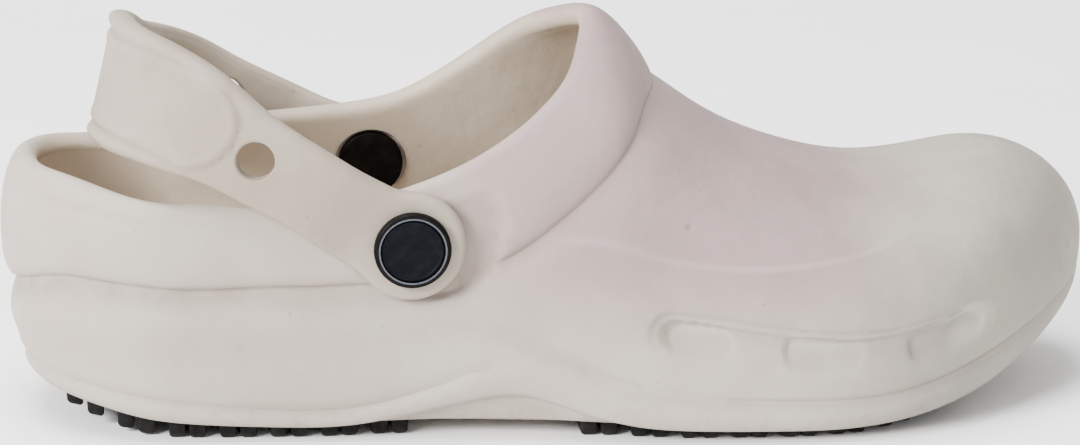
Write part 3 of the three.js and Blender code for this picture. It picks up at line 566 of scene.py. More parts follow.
def underside(x):
    return LUG_DEPTH + np.maximum(under_rise(x), 0)


def underside_at(x, share, edge):
    return underside(x) + (edge - underside(x)) * np.abs(2 * share - 1) ** EDGE_POWER


# Where each rivet crosses the side, and the planes that its pieces seat on
class Seat:
    def __init__(self, side):
        self.side = side
        self.name, share, up = RIVETS[side]
        self.x = share * LENGTH
        self.z = up * INSTEP_HEIGHT
        self.skin = float(abs(side_at(self.x, self.z, side)))
        self.seat = self.skin - LOBE_SEAT
        self.lobe = self.seat + CLEARANCE
        self.cap = self.lobe + STRAP_THICKNESS + CLEARANCE
        self.inside = self.skin - WALL + WASHER_SUNK


SEATS = [Seat(-1), Seat(1)]


def shoe_shift():
    """From the shoe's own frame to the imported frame, read off the outer rivet's badge."""
    low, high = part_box("rivet_badge_lateral")
    seat = SEATS[0]
    top = seat.cap + CAP_THICKNESS
    return np.array([
        (low.x + high.x) * 500 - seat.x,
        low.y * 1000 + top,
        (low.z + high.z) * 500 - seat.z,
    ])


SHIFT = shoe_shift()


def metres(points):
    return (np.asarray(points, float) + SHIFT) / 1000


# Mesh helpers
def mesh_object(name, points, faces, smooth=True, values=None):
    """A closed mesh, with numbers per point by name for the materials."""
    mesh = bpy.data.meshes.new(name)
    mesh.from_pydata([tuple(p) for p in metres(points)], [], faces)
    for key, value in (values or {}).items():
        attribute = mesh.attributes.new(key, "FLOAT", "POINT")
        attribute.data.foreach_set("value", np.asarray(value, np.float32).ravel())
    bm = bmesh.new()
    bm.from_mesh(mesh)
    bmesh.ops.remove_doubles(bm, verts=bm.verts, dist=2e-6)
    bmesh.ops.recalc_face_normals(bm, faces=bm.faces)
    bm.to_mesh(mesh)
    bm.free()
    mesh.validate()
    for polygon in mesh.polygons:
        polygon.use_smooth = smooth
    obj = bpy.data.objects.new(name, mesh)
    bpy.context.scene.collection.objects.link(obj)
    return obj


def boolean(obj, cutter, operation="DIFFERENCE"):
    """Cuts or joins with another closed mesh, which is then removed."""
    modifier = obj.modifiers.new("cut", "BOOLEAN")
    modifier.operation = operation
    modifier.object = cutter
    modifier.solver = "MANIFOLD"
    apply_modifiers(obj)
    bpy.data.objects.remove(cutter)


def apply_modifiers(obj):
    graph = bpy.context.evaluated_depsgraph_get()
    mesh = bpy.data.meshes.new_from_object(obj.evaluated_get(graph))
    old = obj.data
    name = old.name
    obj.modifiers.clear()
    obj.data = mesh
    bpy.data.meshes.remove(old)
    mesh.name = name


def grid_faces(rows, columns, closed_rows=False, closed_columns=False, first=0):
    faces = []
    for i in range(rows if closed_rows else rows - 1):
        for j in range(columns if closed_columns else columns - 1):
            a = first + i * columns + j
            b = first + i * columns + (j + 1) % columns
            c = first + ((i + 1) % rows) * columns + (j + 1) % columns
            d = first + ((i + 1) % rows) * columns + j
            faces.append((a, b, c, d))
    return faces


def turned(name, profile, centre, run, up, out, sides):
    """A turned piece: pairs of radius and distance from the centre along the axis out."""
    angles = 2 * np.pi * np.arange(sides) / sides
    rings = []
    for radius, depth in profile:
        ring = centre + out * depth
        rings.append(ring + np.outer(np.cos(angles), run) * radius + np.outer(np.sin(angles), up) * radius)
    faces = grid_faces(len(profile), sides, closed_columns=True)
    return mesh_object(name, np.concatenate(rings), faces)


def lathe(name, profile, seat):
    """A turned piece on a rivet's axis: pairs of radius and distance from the middle plane."""
    centre = np.array([seat.x, 0, seat.z])
    axes = (np.array(axis) for axis in ((1, 0, 0), (0, 0, 1), (0, seat.side, 0)))
    return turned(name, profile, centre, *axes, LATHE_SIDES)


def arc(centre, radius, start, stop, steps):
    """Points on an arc of a profile, angles in degrees."""
    angles = np.radians(np.linspace(start, stop, steps + 1))
    return [(centre[0] + radius * math.cos(a), centre[1] + radius * math.sin(a)) for a in angles]


# Stations round the shoe, closer together along the forefoot
def stations():
    fine = np.linspace(0, 1, 2001)
    x = np.interp(fine, OUTLINE_SHARE, OUTLINE_X)
    density = 1 + DENSER * soft(*DENSE_FROM, x) * (1 - soft(*DENSE_TO, x))
    run = np.concatenate([[0], np.cumsum((density[1:] + density[:-1]) / 2)])
    share = np.interp(np.linspace(0, 1, STATIONS + 1), run / run[-1], fine)
    return np.concatenate([share, 2 - share[-2:0:-1]])


def eased(count, cluster):
    """Steps from 0 to 1, closer together near both ends, without the 0."""
    k = np.arange(1, count + 1) / count
    return k - cluster * np.sin(2 * np.pi * k) / (2 * np.pi)


def line_places(turns):
    """For every station: distances up the side of each row, and of the lip, ridge and band."""
    levels = np.linspace(0, 2, LINE_STEPS + 1)
    points = form(turns[:, None], levels[None, :])
    steps = np.linalg.norm(np.diff(points, axis=1), axis=2)
    run = np.concatenate([np.zeros((len(turns), 1)), np.cumsum(steps, axis=1)], axis=1)
    x = outline(turns)[:, 0]
    half = LINE_STEPS // 2
    marks = np.zeros((len(turns), 6))
    for i in range(len(turns)):
        heights = points[i, :half + 1, 2]
        marks[i, 1] = np.interp(lip_height(x[i]), heights, run[i, :half + 1])
        marks[i, 2] = np.interp(ridge_height(x[i]), heights, run[i, :half + 1])
    marks[:, 5] = run[:, -1]
    drop = straight(CREASE_DROP, "drop")(x / LENGTH)
    marks[:, 4] = marks[:, 5] - band_width(np.mod(turns, 2)) - drop
    room = marks[:, 4] - marks[:, 2]
    marks[:, 3] = marks[:, 2] + np.minimum(CLOSE_BAND, 0.6 * room)
    places = [marks[:, :1]]
    for k, (count, cluster) in enumerate(zip(ROWS, CLUSTER)):
        low, high = marks[:, k:k + 1], marks[:, k + 1:k + 2]
        places.append(low + (high - low) * eased(count, cluster))
    places = np.concatenate(places, axis=1)
    level = np.array([np.interp(places[i], run[i], levels) for i in range(len(turns))])
    level[:, 0] = 0
    level[:, -1] = 2
    return places, level, marks, run, levels


# Relief of the outer skin, as distances along its normal
def lip_relief(place, marks, x):
    """Rounded flange over the tread, up to the lip at the heel and to the ridge at the forefoot."""
    blend = soft(*FLANGE_BLEND, x / LENGTH)
    top = marks[:, 1:2] * (1 - blend) + marks[:, 2:3] * blend
    centre = top / 2
    q = np.abs(place - centre) / (centre + 0.7)
    bulge = np.clip(1 - q ** 3, 0, 1) ** (1 / 3)
    foot = 0.35 + 0.65 * soft(0, 1.6, place)
    groove = straight(RELIEF, "lip_groove")(x / LENGTH)
    groove = groove * bell(place - marks[:, 1:2] - LIP_GROOVE_ABOVE, LIP_GROOVE_SPREAD)
    return straight(RELIEF, "flange")(x / LENGTH) * bulge * foot - groove


def ridge_relief(place, marks, x):
    """Shoulder at the heel, hollow under the ridge, and the groove over the forefoot's flange."""
    share = x / LENGTH
    drop = straight(RELIEF, "cove_drop")(share)
    wide = straight(RELIEF, "cove_wide")(share)
    above = place - marks[:, 2:3]
    hollow = straight(RELIEF, "cove")(share) * bell(above + drop, wide)
    reach = np.where(above > 0, SHOULDER_UP, SHOULDER_DOWN)
    return straight(RELIEF, "shoulder")(share) * bell(above, reach) - hollow


def roll_relief(place, marks, turns):
    """Groove under the padded roll, and the roll's own round edge and swell."""
    share = share_of(turns)[:, None]
    depth = straight(ROLL, "depth")(share)
    turn_in = straight(ROLL, "turn")(share)
    near = straight(ROLL, "near")(share)
    above = place - marks[:, 4:5]
    fade = np.clip(1 + above / GROOVE_FADE, 0, 1) ** 2
    under = -depth * (0.35 * fade + 0.65 * bell(above, near))
    q = np.clip(1 - above / turn_in, 0, 1)
    over = -depth * (1 - np.sqrt(1 - q ** 2))
    band = marks[:, 5:6] - marks[:, 4:5]
    swell = ROLL_SWELL * np.sin(np.pi * np.clip(above / band, 0, 1))
    return np.where(above < 0, under, over + swell)


def roll_contour(place, marks, turns):
    """Fine second line in the roll, a little under the rim at the heel's outer side."""
    below = marks[:, 5:6] - place
    share = share_of(turns)[:, None]
    fade = soft(*CONTOUR_FROM, share) * (1 - soft(*CONTOUR_TO, share))
    lines = (CONTOUR_GROOVE, CONTOUR_RIDGE)
    return fade * sum(lift * bell(below - drop, spread) for lift, drop, spread in lines)


def slot_inside(x, z, start, stop, centre_z, half, corner):
    """Distance in from the edge of a slot with rounded ends, negative outside."""
    dx = np.abs(x - (start + stop) / 2) - ((stop - start) / 2 - corner)
    dz = np.abs(z - centre_z) - (half - corner)
    outside = np.hypot(np.maximum(dx, 0), np.maximum(dz, 0))
    inside = np.minimum(np.maximum(dx, dz), 0)
    return corner - outside - inside


def recess_relief(points):
    """Long recess with three scooped windows, deepest along its upper edge."""
    x, y, z = points[..., 0], points[..., 1], points[..., 2]
    start, stop = RECESS["at"][0] * LENGTH, RECESS["at"][-1] * LENGTH
    centre = recess_middle(x)
    reach = slot_inside(x, z, start, stop, centre, RECESS_HALF, RECESS_HALF)
    up = (z - centre) / RECESS_HALF
    tilt = np.clip((up + 1.05) / 1.8, 0, 1)
    step = RECESS_STEP * soft(-0.15, RECESS_BEVEL, reach)
    well = RECESS_DEPTH * soft(RECESS_LEDGE, RECESS_LEDGE + 1.5 * RECESS_BEVEL, reach)
    depth = (step + well) * tilt
    for first, last in WINDOWS:
        a, b = first * LENGTH, last * LENGTH
        inside = slot_inside(x, z, a, b, centre - WINDOW_DROP, WINDOW_HALF, WINDOW_CORNER)
        share = (x - a) / (b - a)
        floor = 1.0 - 0.55 * soft(0.3, 1.0, share)
        depth = depth + WINDOW_DEPTH * soft(-0.1, WINDOW_BEVEL, inside) * floor * (0.35 + 0.65 * tilt)
    return np.where(y < 0, depth, 0)


def pocket(points):
    """Presses the skin flat round the strap's lobes, with a crescent ahead of each."""
    out = points.copy()
    cavity = np.zeros(points.shape[:-1])
    for seat in SEATS:
        x, y, z = out[..., 0], out[..., 1], out[..., 2]
        lobe = LOBE_RADIUS + LOBE_ROOM - np.hypot(x - seat.x, z - seat.z)
        ahead = np.hypot(x - seat.x - CRESCENT_AHEAD, z - seat.z - CRESCENT_ABOVE)
        crescent = LOBE_RADIUS + CRESCENT_ROOM - ahead
        inside = np.maximum(lobe, crescent)
        mask = soft(-0.6, 1.6, inside) * (y * seat.side > 10)
        press = np.maximum(y * seat.side - seat.seat, 0) * mask
        out[..., 1] = y - seat.side * press
        cavity = np.maximum(cavity, np.where(press > 0, mask, 0))
    return out, cavity


def crease(points, normals, path, profile, ends, reach):
    """Adds a line along a path, with its relief across it, and says where the line is."""
    knots = np.linspace(0, 1, len(path))
    fine = np.linspace(0, 1, 240)
    curve = np.stack([spline(knots, [p[k] for p in path])(fine) for k in range(3)], axis=-1)
    tangent = unit(np.gradient(curve, axis=0))
    low = curve.min(axis=0) - reach
    high = curve.max(axis=0) + reach
    near = np.all((points > low) & (points < high), axis=-1)
    chosen = points[near]
    n = normals[near]
    distance = np.linalg.norm(chosen[:, None, :] - curve[None, :, :], axis=2)
    best = distance.argmin(axis=1)
    across = np.einsum("ij,ij->i", chosen - curve[best], unit(np.cross(tangent[best], n)))
    edge = np.minimum(fine[best], 1 - fine[best])
    relief = profile(across) * soft(0.0, ends, edge) * (distance.min(axis=1) < reach)
    out = points.copy()
    out[near] += n * relief[:, None]
    line = np.zeros(points.shape[:-1])
    line[near] = bell(across, 0.9) * soft(0.0, ends, edge)
    return out, line


def panel_profile(across):
    """A ledge that faces up: the vamp's own panel lies a little lower along it."""
    above = -across
    step = -PANEL_STEP * soft(-PANEL_SOFT, PANEL_SOFT, above) * (1 - soft(*PANEL_FADE, above))
    return step + PANEL_EDGE * bell(above + 1.0, 1.0)


def toe_profile(across):
    """The same ledge where it runs over the toe, much softer."""
    above = -across
    return -TOE_STEP * soft(-TOE_SOFT, TOE_SOFT, above) * (1 - soft(*TOE_FADE, above))


def outer_skin(turns, places, level, marks):
    """The outer skin with its relief, and how much dust and painted shade and how much painted light each
    point takes.
    """
    x = outline(turns)[:, 0:1]
    base = form(turns[:, None], level)
    normal = form_normal(turns[:, None], level)
    relief = lip_relief(places, marks, x) + ridge_relief(places, marks, x)
    relief = relief + roll_relief(places, marks, turns) + roll_contour(places, marks, turns)
    deep = recess_relief(base)
    outer = base + normal * (relief - deep)[..., None]
    outer, ledge = crease(outer, normal, PANEL_LINE, panel_profile, PANEL_ENDS, PANEL_REACH)
    outer, _ = crease(outer, normal, TOE_LINE, toe_profile, TOE_ENDS, TOE_REACH)
    outer, pressed = pocket(outer)
    # Painted shade in the grooves and coves of the relief and in the pockets pressed round the strap's
    # lobes.
    hollow = np.clip(-relief / 3, 0, 1) * 0.6 + pressed * 0.5
    return outer, *dust_and_shade_and_painted_light(base, deep, hollow, ledge)


def dust_and_shade_and_painted_light(base, deep, hollow, ledge):
    """Dust and painted shade in hollows and along the recess's upper edge, and painted light on the floors,
    the end and the ledge.
    """
    x = base[..., 0]
    pressed = deep > 0.05
    upper = pressed * (base[..., 2] > recess_middle(x) + SHADE_AND_LIGHT_ABOVE)
    front_end = soft(*FRONT_END, x / LENGTH)
    # Painted shade: the hollows, less by the recess's front end, and thin lines along the recess's upper
    # steps.
    lines = sum(bell(deep - depth, spread) for depth, spread in STEP_SHADE_LINES)
    dust_and_shade = hollow * (1 - 0.8 * front_end * pressed) + 0.5 * lines * upper * (1 - front_end)
    # Painted light: along the vamp panel's ledge, on the deep window floors, on the recess's upper step and
    # on the floors by its front end.
    painted_light = (
        0.2 * ledge * (1 - soft(*LEDGE_END, x / LENGTH)),
        0.9 * soft(2.4, 4.4, deep),
        0.25 * bell(deep - RECESS_STEP, 0.25) * upper,
        0.9 * front_end * soft(0.4, 1.6, deep),
    )
    return dust_and_shade, np.max(painted_light, axis=0)


def rim_rows(turns, edge):
    """Half a round over the wall's upper edge, from the outer skin to the lining."""
    out = form_normal(turns, 2.0)
    climb = form(turns, 2.0) - form(turns, NEAR_RIM)
    rise = unit(climb - out * np.sum(climb * out, axis=1, keepdims=True))
    half = WALL / 2
    centre = edge - out * half
    angles = np.pi * np.arange(1, RIM_STEPS) / RIM_STEPS
    return np.stack([centre + out * half * math.cos(a) + rise * half * math.sin(a) for a in angles], axis=1)


def lining_rows(turns, run, levels):
    """The lining, one wall inside the form, from the rim down to the widest level."""
    depth = run[:, -1] - np.array([np.interp(1.0, levels, r) for r in run])
    below = run[:, -1:] - depth[:, None] * np.linspace(0, 1, LINING_ROWS + 1)
    level = np.array([np.interp(b, r, levels) for b, r in zip(below, run)])
    level[:, 0] = 2
    return form(turns[:, None], level) - form_normal(turns[:, None], level) * WALL


def fillet_rows(turns):
    """Round from the lining's foot to the footbed."""
    start = outline(turns)
    across = outline_normal(turns)
    rows = []
    for i in range(1, FILLET_ROWS + 1):
        a = math.pi * i / (2 * FILLET_ROWS)
        p = start - across * (WALL + FOOTBED_FILLET * (1 - math.cos(a)))
        p[:, 2] = start[:, 2] - (start[:, 2] - foot_height(start[:, 0])) * math.sin(a)
        rows.append(p)
    return np.stack(rows, axis=1)


def shell_lines(turns):
    """Outer skin, rim, lining and fillet for every station, with values for the materials."""
    places, level, marks, run, levels = line_places(turns)
    outer, dust_and_shade, light = outer_skin(turns, places, level, marks)
    parts = (outer, rim_rows(turns, outer[:, -1]), lining_rows(turns, run, levels), fillet_rows(turns))
    points = np.concatenate(parts, axis=1)
    inside, shade, painted_light = (np.zeros(points.shape[:2]) for _ in range(3))
    skin = outer.shape[1]
    lining = skin + RIM_STEPS - 1
    inside[:, skin:lining] = soft(0.15, 0.9, np.arange(1, RIM_STEPS) / RIM_STEPS)
    inside[:, lining:] = 1
    # Dust and painted shade on the outer skin; painted shade growing across the fillet into the footbed's
    # corner.
    shade[:, :skin] = dust_and_shade
    shade[:, -FILLET_ROWS:] = np.linspace(0, 1, FILLET_ROWS)
    # Painted light on the outer skin.
    painted_light[:, :skin] = light
    return points, {"inside": inside, "shade": shade, "painted_light": painted_light}


def ladder(points, loop, height, down):
    """Closes a loop of stations with rows across it, as new points and faces."""
    count = len(loop) // 2
    first = len(points)
    across = (1 - np.cos(np.pi * np.arange(1, LANES) / LANES)) / 2
    a = points[loop[1:count]]
    b = points[loop[:count:-1]]
    rows = a[:, None, :] + (b - a)[:, None, :] * across[None, :, None]
    rows[..., 2] = height(rows, across[None, :])
    index = first + np.arange(rows.shape[0] * rows.shape[1]).reshape(rows.shape[:2])
    index = np.concatenate([loop[1:count, None], index, loop[:count:-1][:, None]], axis=1)
    faces = []
    for j in range(index.shape[1] - 1):
        faces.append((loop[0], index[0, j + 1], index[0, j]))
        faces.append((loop[count], index[-1, j], index[-1, j + 1]))
        for i in range(index.shape[0] - 1):
            faces.append((index[i, j], index[i, j + 1], index[i + 1, j + 1], index[i + 1, j]))
    if not down:
        faces = [tuple(reversed(f)) for f in faces]
    return rows.reshape(-1, 3), [tuple(int(v) for v in f) for f in faces]


def under_height(p, share):
    return underside_at(p[..., 0], share, p[..., 2])


def bed_height(p, share):
    return p[..., 2] - FOOTBED_DISH * (1 - (2 * share - 1) ** 2)


def build_shell():
    lines, values = shell_lines(stations())
    count, rows = lines.shape[:2]
    points = lines.reshape(-1, 3)
    faces = grid_faces(count, rows, closed_rows=True)
    loops = (
        # The underside is darkened with painted shade; the footbed takes none.
        (0, under_height, True, {"inside": 0, "shade": 0.4, "painted_light": 0}),
        (rows - 1, bed_height, False, {"inside": 1, "shade": 0, "painted_light": 0}),
    )
    values = {key: value.ravel() for key, value in values.items()}
    for row, height, down, flat_values in loops:
        new_points, new_faces = ladder(points, np.arange(count) * rows + row, height, down)
        points = np.concatenate([points, new_points])
        faces += new_faces
        for key, value in flat_values.items():
            values[key] = np.concatenate([values[key], np.full(len(new_points), value)])
    obj = mesh_object("clog_moulding", points, faces, values=values)
    for pad in PADS:
        boolean(obj, pad_block("cutter", pad, CLEARANCE, PAD_THICKNESS + CLEARANCE, 2 * LUG_DEPTH))
    for seat in SEATS:
        bore = RIVET_RADIUS + CLEARANCE
        boolean(obj, drill(seat, bore, seat.inside - 3 * WALL, seat.skin + 2 * WALL))
        reach = WASHER_RADIUS + WASHER_ROOM
        boolean(obj, drill(seat, reach, seat.inside - 2 * WALL, seat.inside))
    shade_by_angle(obj, 40)
    return obj


def drill(seat, radius, start, stop):
    return lathe("cutter", [(0, start), (radius, start), (radius, stop), (0, stop)], seat)


def shade_by_angle(obj, degrees):
    """Smooth shading that breaks at edges sharper than an angle."""
    mesh = obj.data
    bm = bmesh.new()
    bm.from_mesh(mesh)
    limit = math.radians(degrees)
    for face in bm.faces:
        face.smooth = True
    for edge in bm.edges:
        edge.smooth = len(edge.link_faces) != 2 or edge.calc_face_angle(0) < limit
    bm.to_mesh(mesh)
    bm.free()


# Rubber pads
def pad_share(x):
    return straight(PAD_SHARE, "share")(x / LENGTH)


def pad_half(x, side, grow):
    return (half_width(x, side) - edge_inset(x)) * pad_share(x) + grow


def pad_block(name, pad, grow, thickness, sink, steps=40, lanes=16):
    """A plate let into the underside between two places along the shoe."""
    _, start, stop, _ = pad
    skins = []
    for lift in (-sink, thickness):
        rows = []
        for i in range(steps + 1):
            x = LENGTH * (start + (stop - start) * i / steps)
            x += {0: -grow, steps: grow}.get(i, 0)
            lane = np.linspace(0, 1, lanes + 1)
            low, high = -pad_half(x, -1, grow), pad_half(x, 1, grow)
            y = middle(x) + low + (high - low) * lane
            inner = 0.5 + (lane - 0.5) * pad_share(x)
            rows.append(stack(x, y, underside_at(x, inner, edge_height(x)) + lift))
        skins.append(np.stack(rows))
    columns = lanes + 1
    bottom, top = (s.reshape(-1, 3) for s in skins)
    points = np.concatenate([bottom, top])
    half = len(bottom)
    faces = grid_faces(steps + 1, columns) + grid_faces(steps + 1, columns, first=half)
    ring = list(range(columns))
    ring += [i * columns + lanes for i in range(1, steps + 1)]
    ring += [steps * columns + j for j in range(lanes - 1, -1, -1)]
    ring += [i * columns for i in range(steps - 1, 0, -1)]
    for a, b in zip(ring, ring[1:] + ring[:1]):
        faces.append((a, b, b + half, a + half))
    return mesh_object(name, points, faces, smooth=False)


def lug_points(x, y, floor, top):
    """Corners of a lug: slanted sides, lower edges rounded off in two steps."""
    rings = []
    for z, inset in (
        (top, 0.0),
        (floor + 1.6 * LUG_ROUND, 0.55 * LUG_TAPER),
        (floor + 0.6 * LUG_ROUND, LUG_TAPER + 0.15 * LUG_ROUND),
        (floor, LUG_TAPER + 0.75 * LUG_ROUND),
    ):
        rings.append(rounded_box(x, y, z, LUG_LENGTH / 2 - inset, LUG_WIDTH / 2 - inset, LUG_ROUND))
    return rings


def rounded_box(x, y, z, half_x, half_y, corner, steps=3):
    ring = []
    for k, (sx, sy) in enumerate(((1, 1), (-1, 1), (-1, -1), (1, -1))):
        for i in range(steps + 1):
            a = math.pi / 2 * (k + i / steps)
            cx = sx * (half_x - corner)
            cy = sy * (half_y - corner)
            ring.append((x + cx + corner * math.cos(a), y + cy + corner * math.sin(a), z))
    return np.array(ring)


def lug_reach(x, side):
    ends = [x - LUG_LENGTH / 2, x + LUG_LENGTH / 2]
    return min(float(pad_half(end, side, 0)) for end in ends) - LUG_WIDTH / 2 - LUG_EDGE


def lug_places(pad):
    _, start, stop, columns = pad
    pitch = 2 * LUG_LENGTH + LUG_PAIR_GAP + LUG_ROW_GAP
    length = (stop - start) * LENGTH - 2 * PAD_RIM
    pairs = max(int((length + LUG_ROW_GAP) / pitch), 1)
    spread = (length + LUG_ROW_GAP - pairs * pitch) / max(pairs - 1, 1)
    for i in range(2 * pairs):
        offset = (i // 2) * (pitch + spread) + (i % 2) * (LUG_LENGTH + LUG_PAIR_GAP)
        x = start * LENGTH + PAD_RIM + LUG_LENGTH / 2 + offset
        low = float(middle(x)) - lug_reach(x, -1)
        high = float(middle(x)) + lug_reach(x, 1)
        for j in range(columns):
            yield x, low + (high - low) * j / (columns - 1)


def build_pad(pad):
    """A pad with its lugs, which follow the slope of the sole."""
    obj = pad_block(f"tread_{pad[0]}", pad, 0, PAD_THICKNESS, 0)
    points, faces = [], []
    for x, y in lug_places(pad):
        bottom = float(underside(x))
        depth = LUG_DEPTH * float(straight(LUG_SHARE, "share")(x / LENGTH))
        rings = lug_points(x, y, bottom - depth, bottom + PAD_THICKNESS / 2)
        for ring in rings:
            ring[:, 2] += underside(ring[:, 0]) - bottom
        first = sum(len(p) for p in points)
        size = len(rings[0])
        points.extend(rings)
        faces += grid_faces(len(rings), size, closed_columns=True, first=first)
        faces.append(tuple(first + i for i in range(size)))
        last = first + (len(rings) - 1) * size
        faces.append(tuple(last + i for i in reversed(range(size))))
    lugs = mesh_object("cutter", np.concatenate(points), faces, smooth=False)
    boolean(obj, lugs, "UNION")
    shade_by_angle(obj, 38)
    return obj


# Strap
def strap_curves():
    rear = SEATS[0].x - STRAP_REACH
    knots = np.linspace(0, 1, len(STRAP["side"]))
    places = []
    for i, side in enumerate(STRAP["side"]):
        seat = SEATS[1] if side > 0 else SEATS[0]
        back = STRAP["back"][i]
        spread = side * (seat.lobe + STRAP_THICKNESS / 2) * STRAP["out"][i]
        base = seat.z + (SEATS[0].z - seat.z) * (back if side else 0)
        places.append((seat.x - (seat.x - rear) * back, spread, base + STRAP["up"][i] * STRAP_RISE))
    places = np.array(places)
    axis = [spline(knots, places[:, k]) for k in range(3)]
    half = spline(knots, STRAP["half"] * STRAP_WIDTH)
    lean = spline(knots, STRAP["lean"])
    return lambda share: stack(*(f(share) for f in axis)), half, lean


STRAP_AT, STRAP_HALF, STRAP_LEAN = strap_curves()


def strap_frame(share):
    share = np.asarray(share, float)
    run = unit(STRAP_AT(np.minimum(share + STEP, 1)) - STRAP_AT(np.maximum(share - STEP, 0)))
    flat = unit(stack(-run[..., 1], run[..., 0], 0))
    tilt = np.radians(STRAP_LEAN(share))
    out = unit(flat * np.cos(tilt)[..., None] + stack(0, 0, np.sin(tilt)))
    up = unit(np.cross(run, out))
    up = np.where(up[..., 2:3] < 0, -up, up)
    return STRAP_AT(share), run, up, out


def strap_length():
    share = np.linspace(0, 1, 2001)
    run = np.linalg.norm(np.diff(STRAP_AT(share), axis=0), axis=1)
    return np.concatenate([[0], np.cumsum(run)]), share


def strap_surface(u, v, lift):
    """A point by the distance along the strap, across it and out from its middle."""
    lengths, shares = strap_length()
    total = lengths[-1]
    inner = np.clip(u, 0, total)
    share = np.interp(inner, lengths, shares)
    centre, run, up, out = strap_frame(share)
    centre = centre + run * (u - inner)[..., None]
    for seat, distance in ((SEATS[0], u), (SEATS[1], total - u)):
        flat = (1 - soft(STRAP_FLAT_FROM, STRAP_FLAT_TO, distance))[..., None]
        level = centre.copy()
        level[..., 1] = seat.side * (seat.lobe + STRAP_THICKNESS / 2)
        centre = centre + (level - centre) * flat
        face = np.zeros_like(out)
        face[..., 1] = seat.side
        out = unit(out + (face - out) * flat)
        up = unit(up - out * np.sum(up * out, axis=-1, keepdims=True))
    return centre + up * v[..., None] + out * lift[..., None]


def strap_outline(inset):
    """Distances along the strap and half widths of its outline, drawn in by an inset."""
    lengths, shares = strap_length()
    total = lengths[-1]
    angle = np.pi / 2 * np.arange(LOBE_STEPS + 1) / LOBE_STEPS
    body = np.linspace(0, total, STRAP_BODY_STEPS + 1)
    half = STRAP_HALF(np.interp(body, lengths, shares))
    for distance in (body, total - body):
        circle = np.sqrt(np.clip(LOBE_RADIUS ** 2 - distance ** 2, 0, None))
        half = (half ** LOBE_POWER + circle ** LOBE_POWER) ** (1 / LOBE_POWER)
    radius = half[0] - inset
    start_u = -(LOBE_RADIUS - inset) * np.cos(angle[:-1])
    start_h = radius * np.sin(angle[:-1])
    radius = half[-1] - inset
    end_u = total + (LOBE_RADIUS - inset) * np.sin(angle[1:])
    end_h = radius * np.cos(angle[1:])
    return np.concatenate([start_u, body, end_u]), np.concatenate([start_h, half - inset, end_h])


def strap_relief(v, half, share):
    """Beads along both edges round the back and the plain raised panel, on the outer face."""
    back = 1 - soft(STRAP_BACK_FROM, STRAP_BACK_TO, np.abs(share - STRAP_BACK))
    beads = TOP_BEAD * bell(v - (half - TOP_BEAD_IN), BEAD_SPREAD)
    beads = beads + LOW_BEAD * bell(v + (half - LOW_BEAD_IN), BEAD_SPREAD)
    s = (2 * share - PANEL_FROM - PANEL_TO) / (PANEL_TO - PANEL_FROM)
    room = np.minimum(PANEL_HALF, half - 2.6)
    length = strap_length()[0][-1] * (PANEL_TO - PANEL_FROM) / 2
    dx = np.maximum(np.abs(s) * length - (length - room), 0)
    inside = room - np.hypot(dx, v)
    panel = PANEL_RAISE * soft(-0.9, 0.5, inside) - 0.25 * bell(inside + 1.2, 0.9)
    return beads * back + panel - 0.3 * soft(2.0, 3.2, inside)


def build_strap():
    lengths, shares = strap_length()
    face_u, face_h = strap_outline(STRAP_ROUND)
    lane = np.linspace(-1, 1, STRAP_LANES + 1)
    u = face_u[:, None] + 0 * lane
    v = face_h[:, None] * lane
    share = np.interp(u, lengths, shares)
    t = STRAP_THICKNESS / 2
    full_half = (face_h + STRAP_ROUND)[:, None]
    relief = strap_relief(v, full_half, share)
    outer = strap_surface(u, v, t + relief)
    inner = strap_surface(u, -v, np.full_like(u, -t) - 0.15 * relief)
    edge_relief = {1: relief[:, -1], -1: relief[:, 0]}
    sides = {}
    for side in (1, -1):
        rings = []
        for k in range(1, STRAP_RIM_STEPS):
            a = np.pi * k / STRAP_RIM_STEPS
            inset = STRAP_ROUND * (1 - math.sin(a))
            lift = (t - STRAP_ROUND) * (1 if a < np.pi / 2 else -1) * (abs(math.cos(a)) > 1e-6)
            lift += STRAP_ROUND * math.cos(a)
            ring_u, ring_h = strap_outline(inset)
            extra = edge_relief[side] * max(math.cos(a), 0)
            rings.append(strap_surface(ring_u, side * ring_h, lift + extra))
        sides[side] = np.stack(rings, axis=1)
    loop = np.concatenate([outer, sides[1], inner, sides[-1][:, ::-1]], axis=1)
    count, columns = loop.shape[:2]
    faces = grid_faces(count, columns, closed_columns=True)
    # Painted shade in the groove round the strap's raised panel, on its outer face.
    groove = np.clip(-relief / 0.3, 0, 1) * (share > 0.2) * (share < 0.76)
    parts = [groove * 0.35, np.zeros(sides[1].shape[:2]), 0 * groove, np.zeros(sides[1].shape[:2])]
    shade = np.concatenate(parts, axis=1)
    inside = np.zeros((count, columns))
    inner_from = outer.shape[1] + sides[1].shape[1]
    inside[:, inner_from:inner_from + inner.shape[1]] = 0.55
    values = {"inside": inside, "shade": shade}
    obj = mesh_object("clog_strap", loop.reshape(-1, 3), faces, values=values)
    for seat in SEATS:
        drill_hole(obj, seat)
        boolean(obj, drill(seat, RIVET_RADIUS + CLEARANCE, seat.seat - WALL, seat.cap + WALL))
    shade_by_angle(obj, 40)
    return obj


def hole_share(seat):
    """Share of the strap's length where the spare hole of one arm lies."""
    goal = seat.x - STRAP_HOLE_BACK
    near, far = (0.0, 0.5) if seat.side < 0 else (1.0, 0.5)
    for _ in range(40):
        half = (near + far) / 2
        if STRAP_AT(half)[0] > goal:
            near = half
        else:
            far = half
    return near


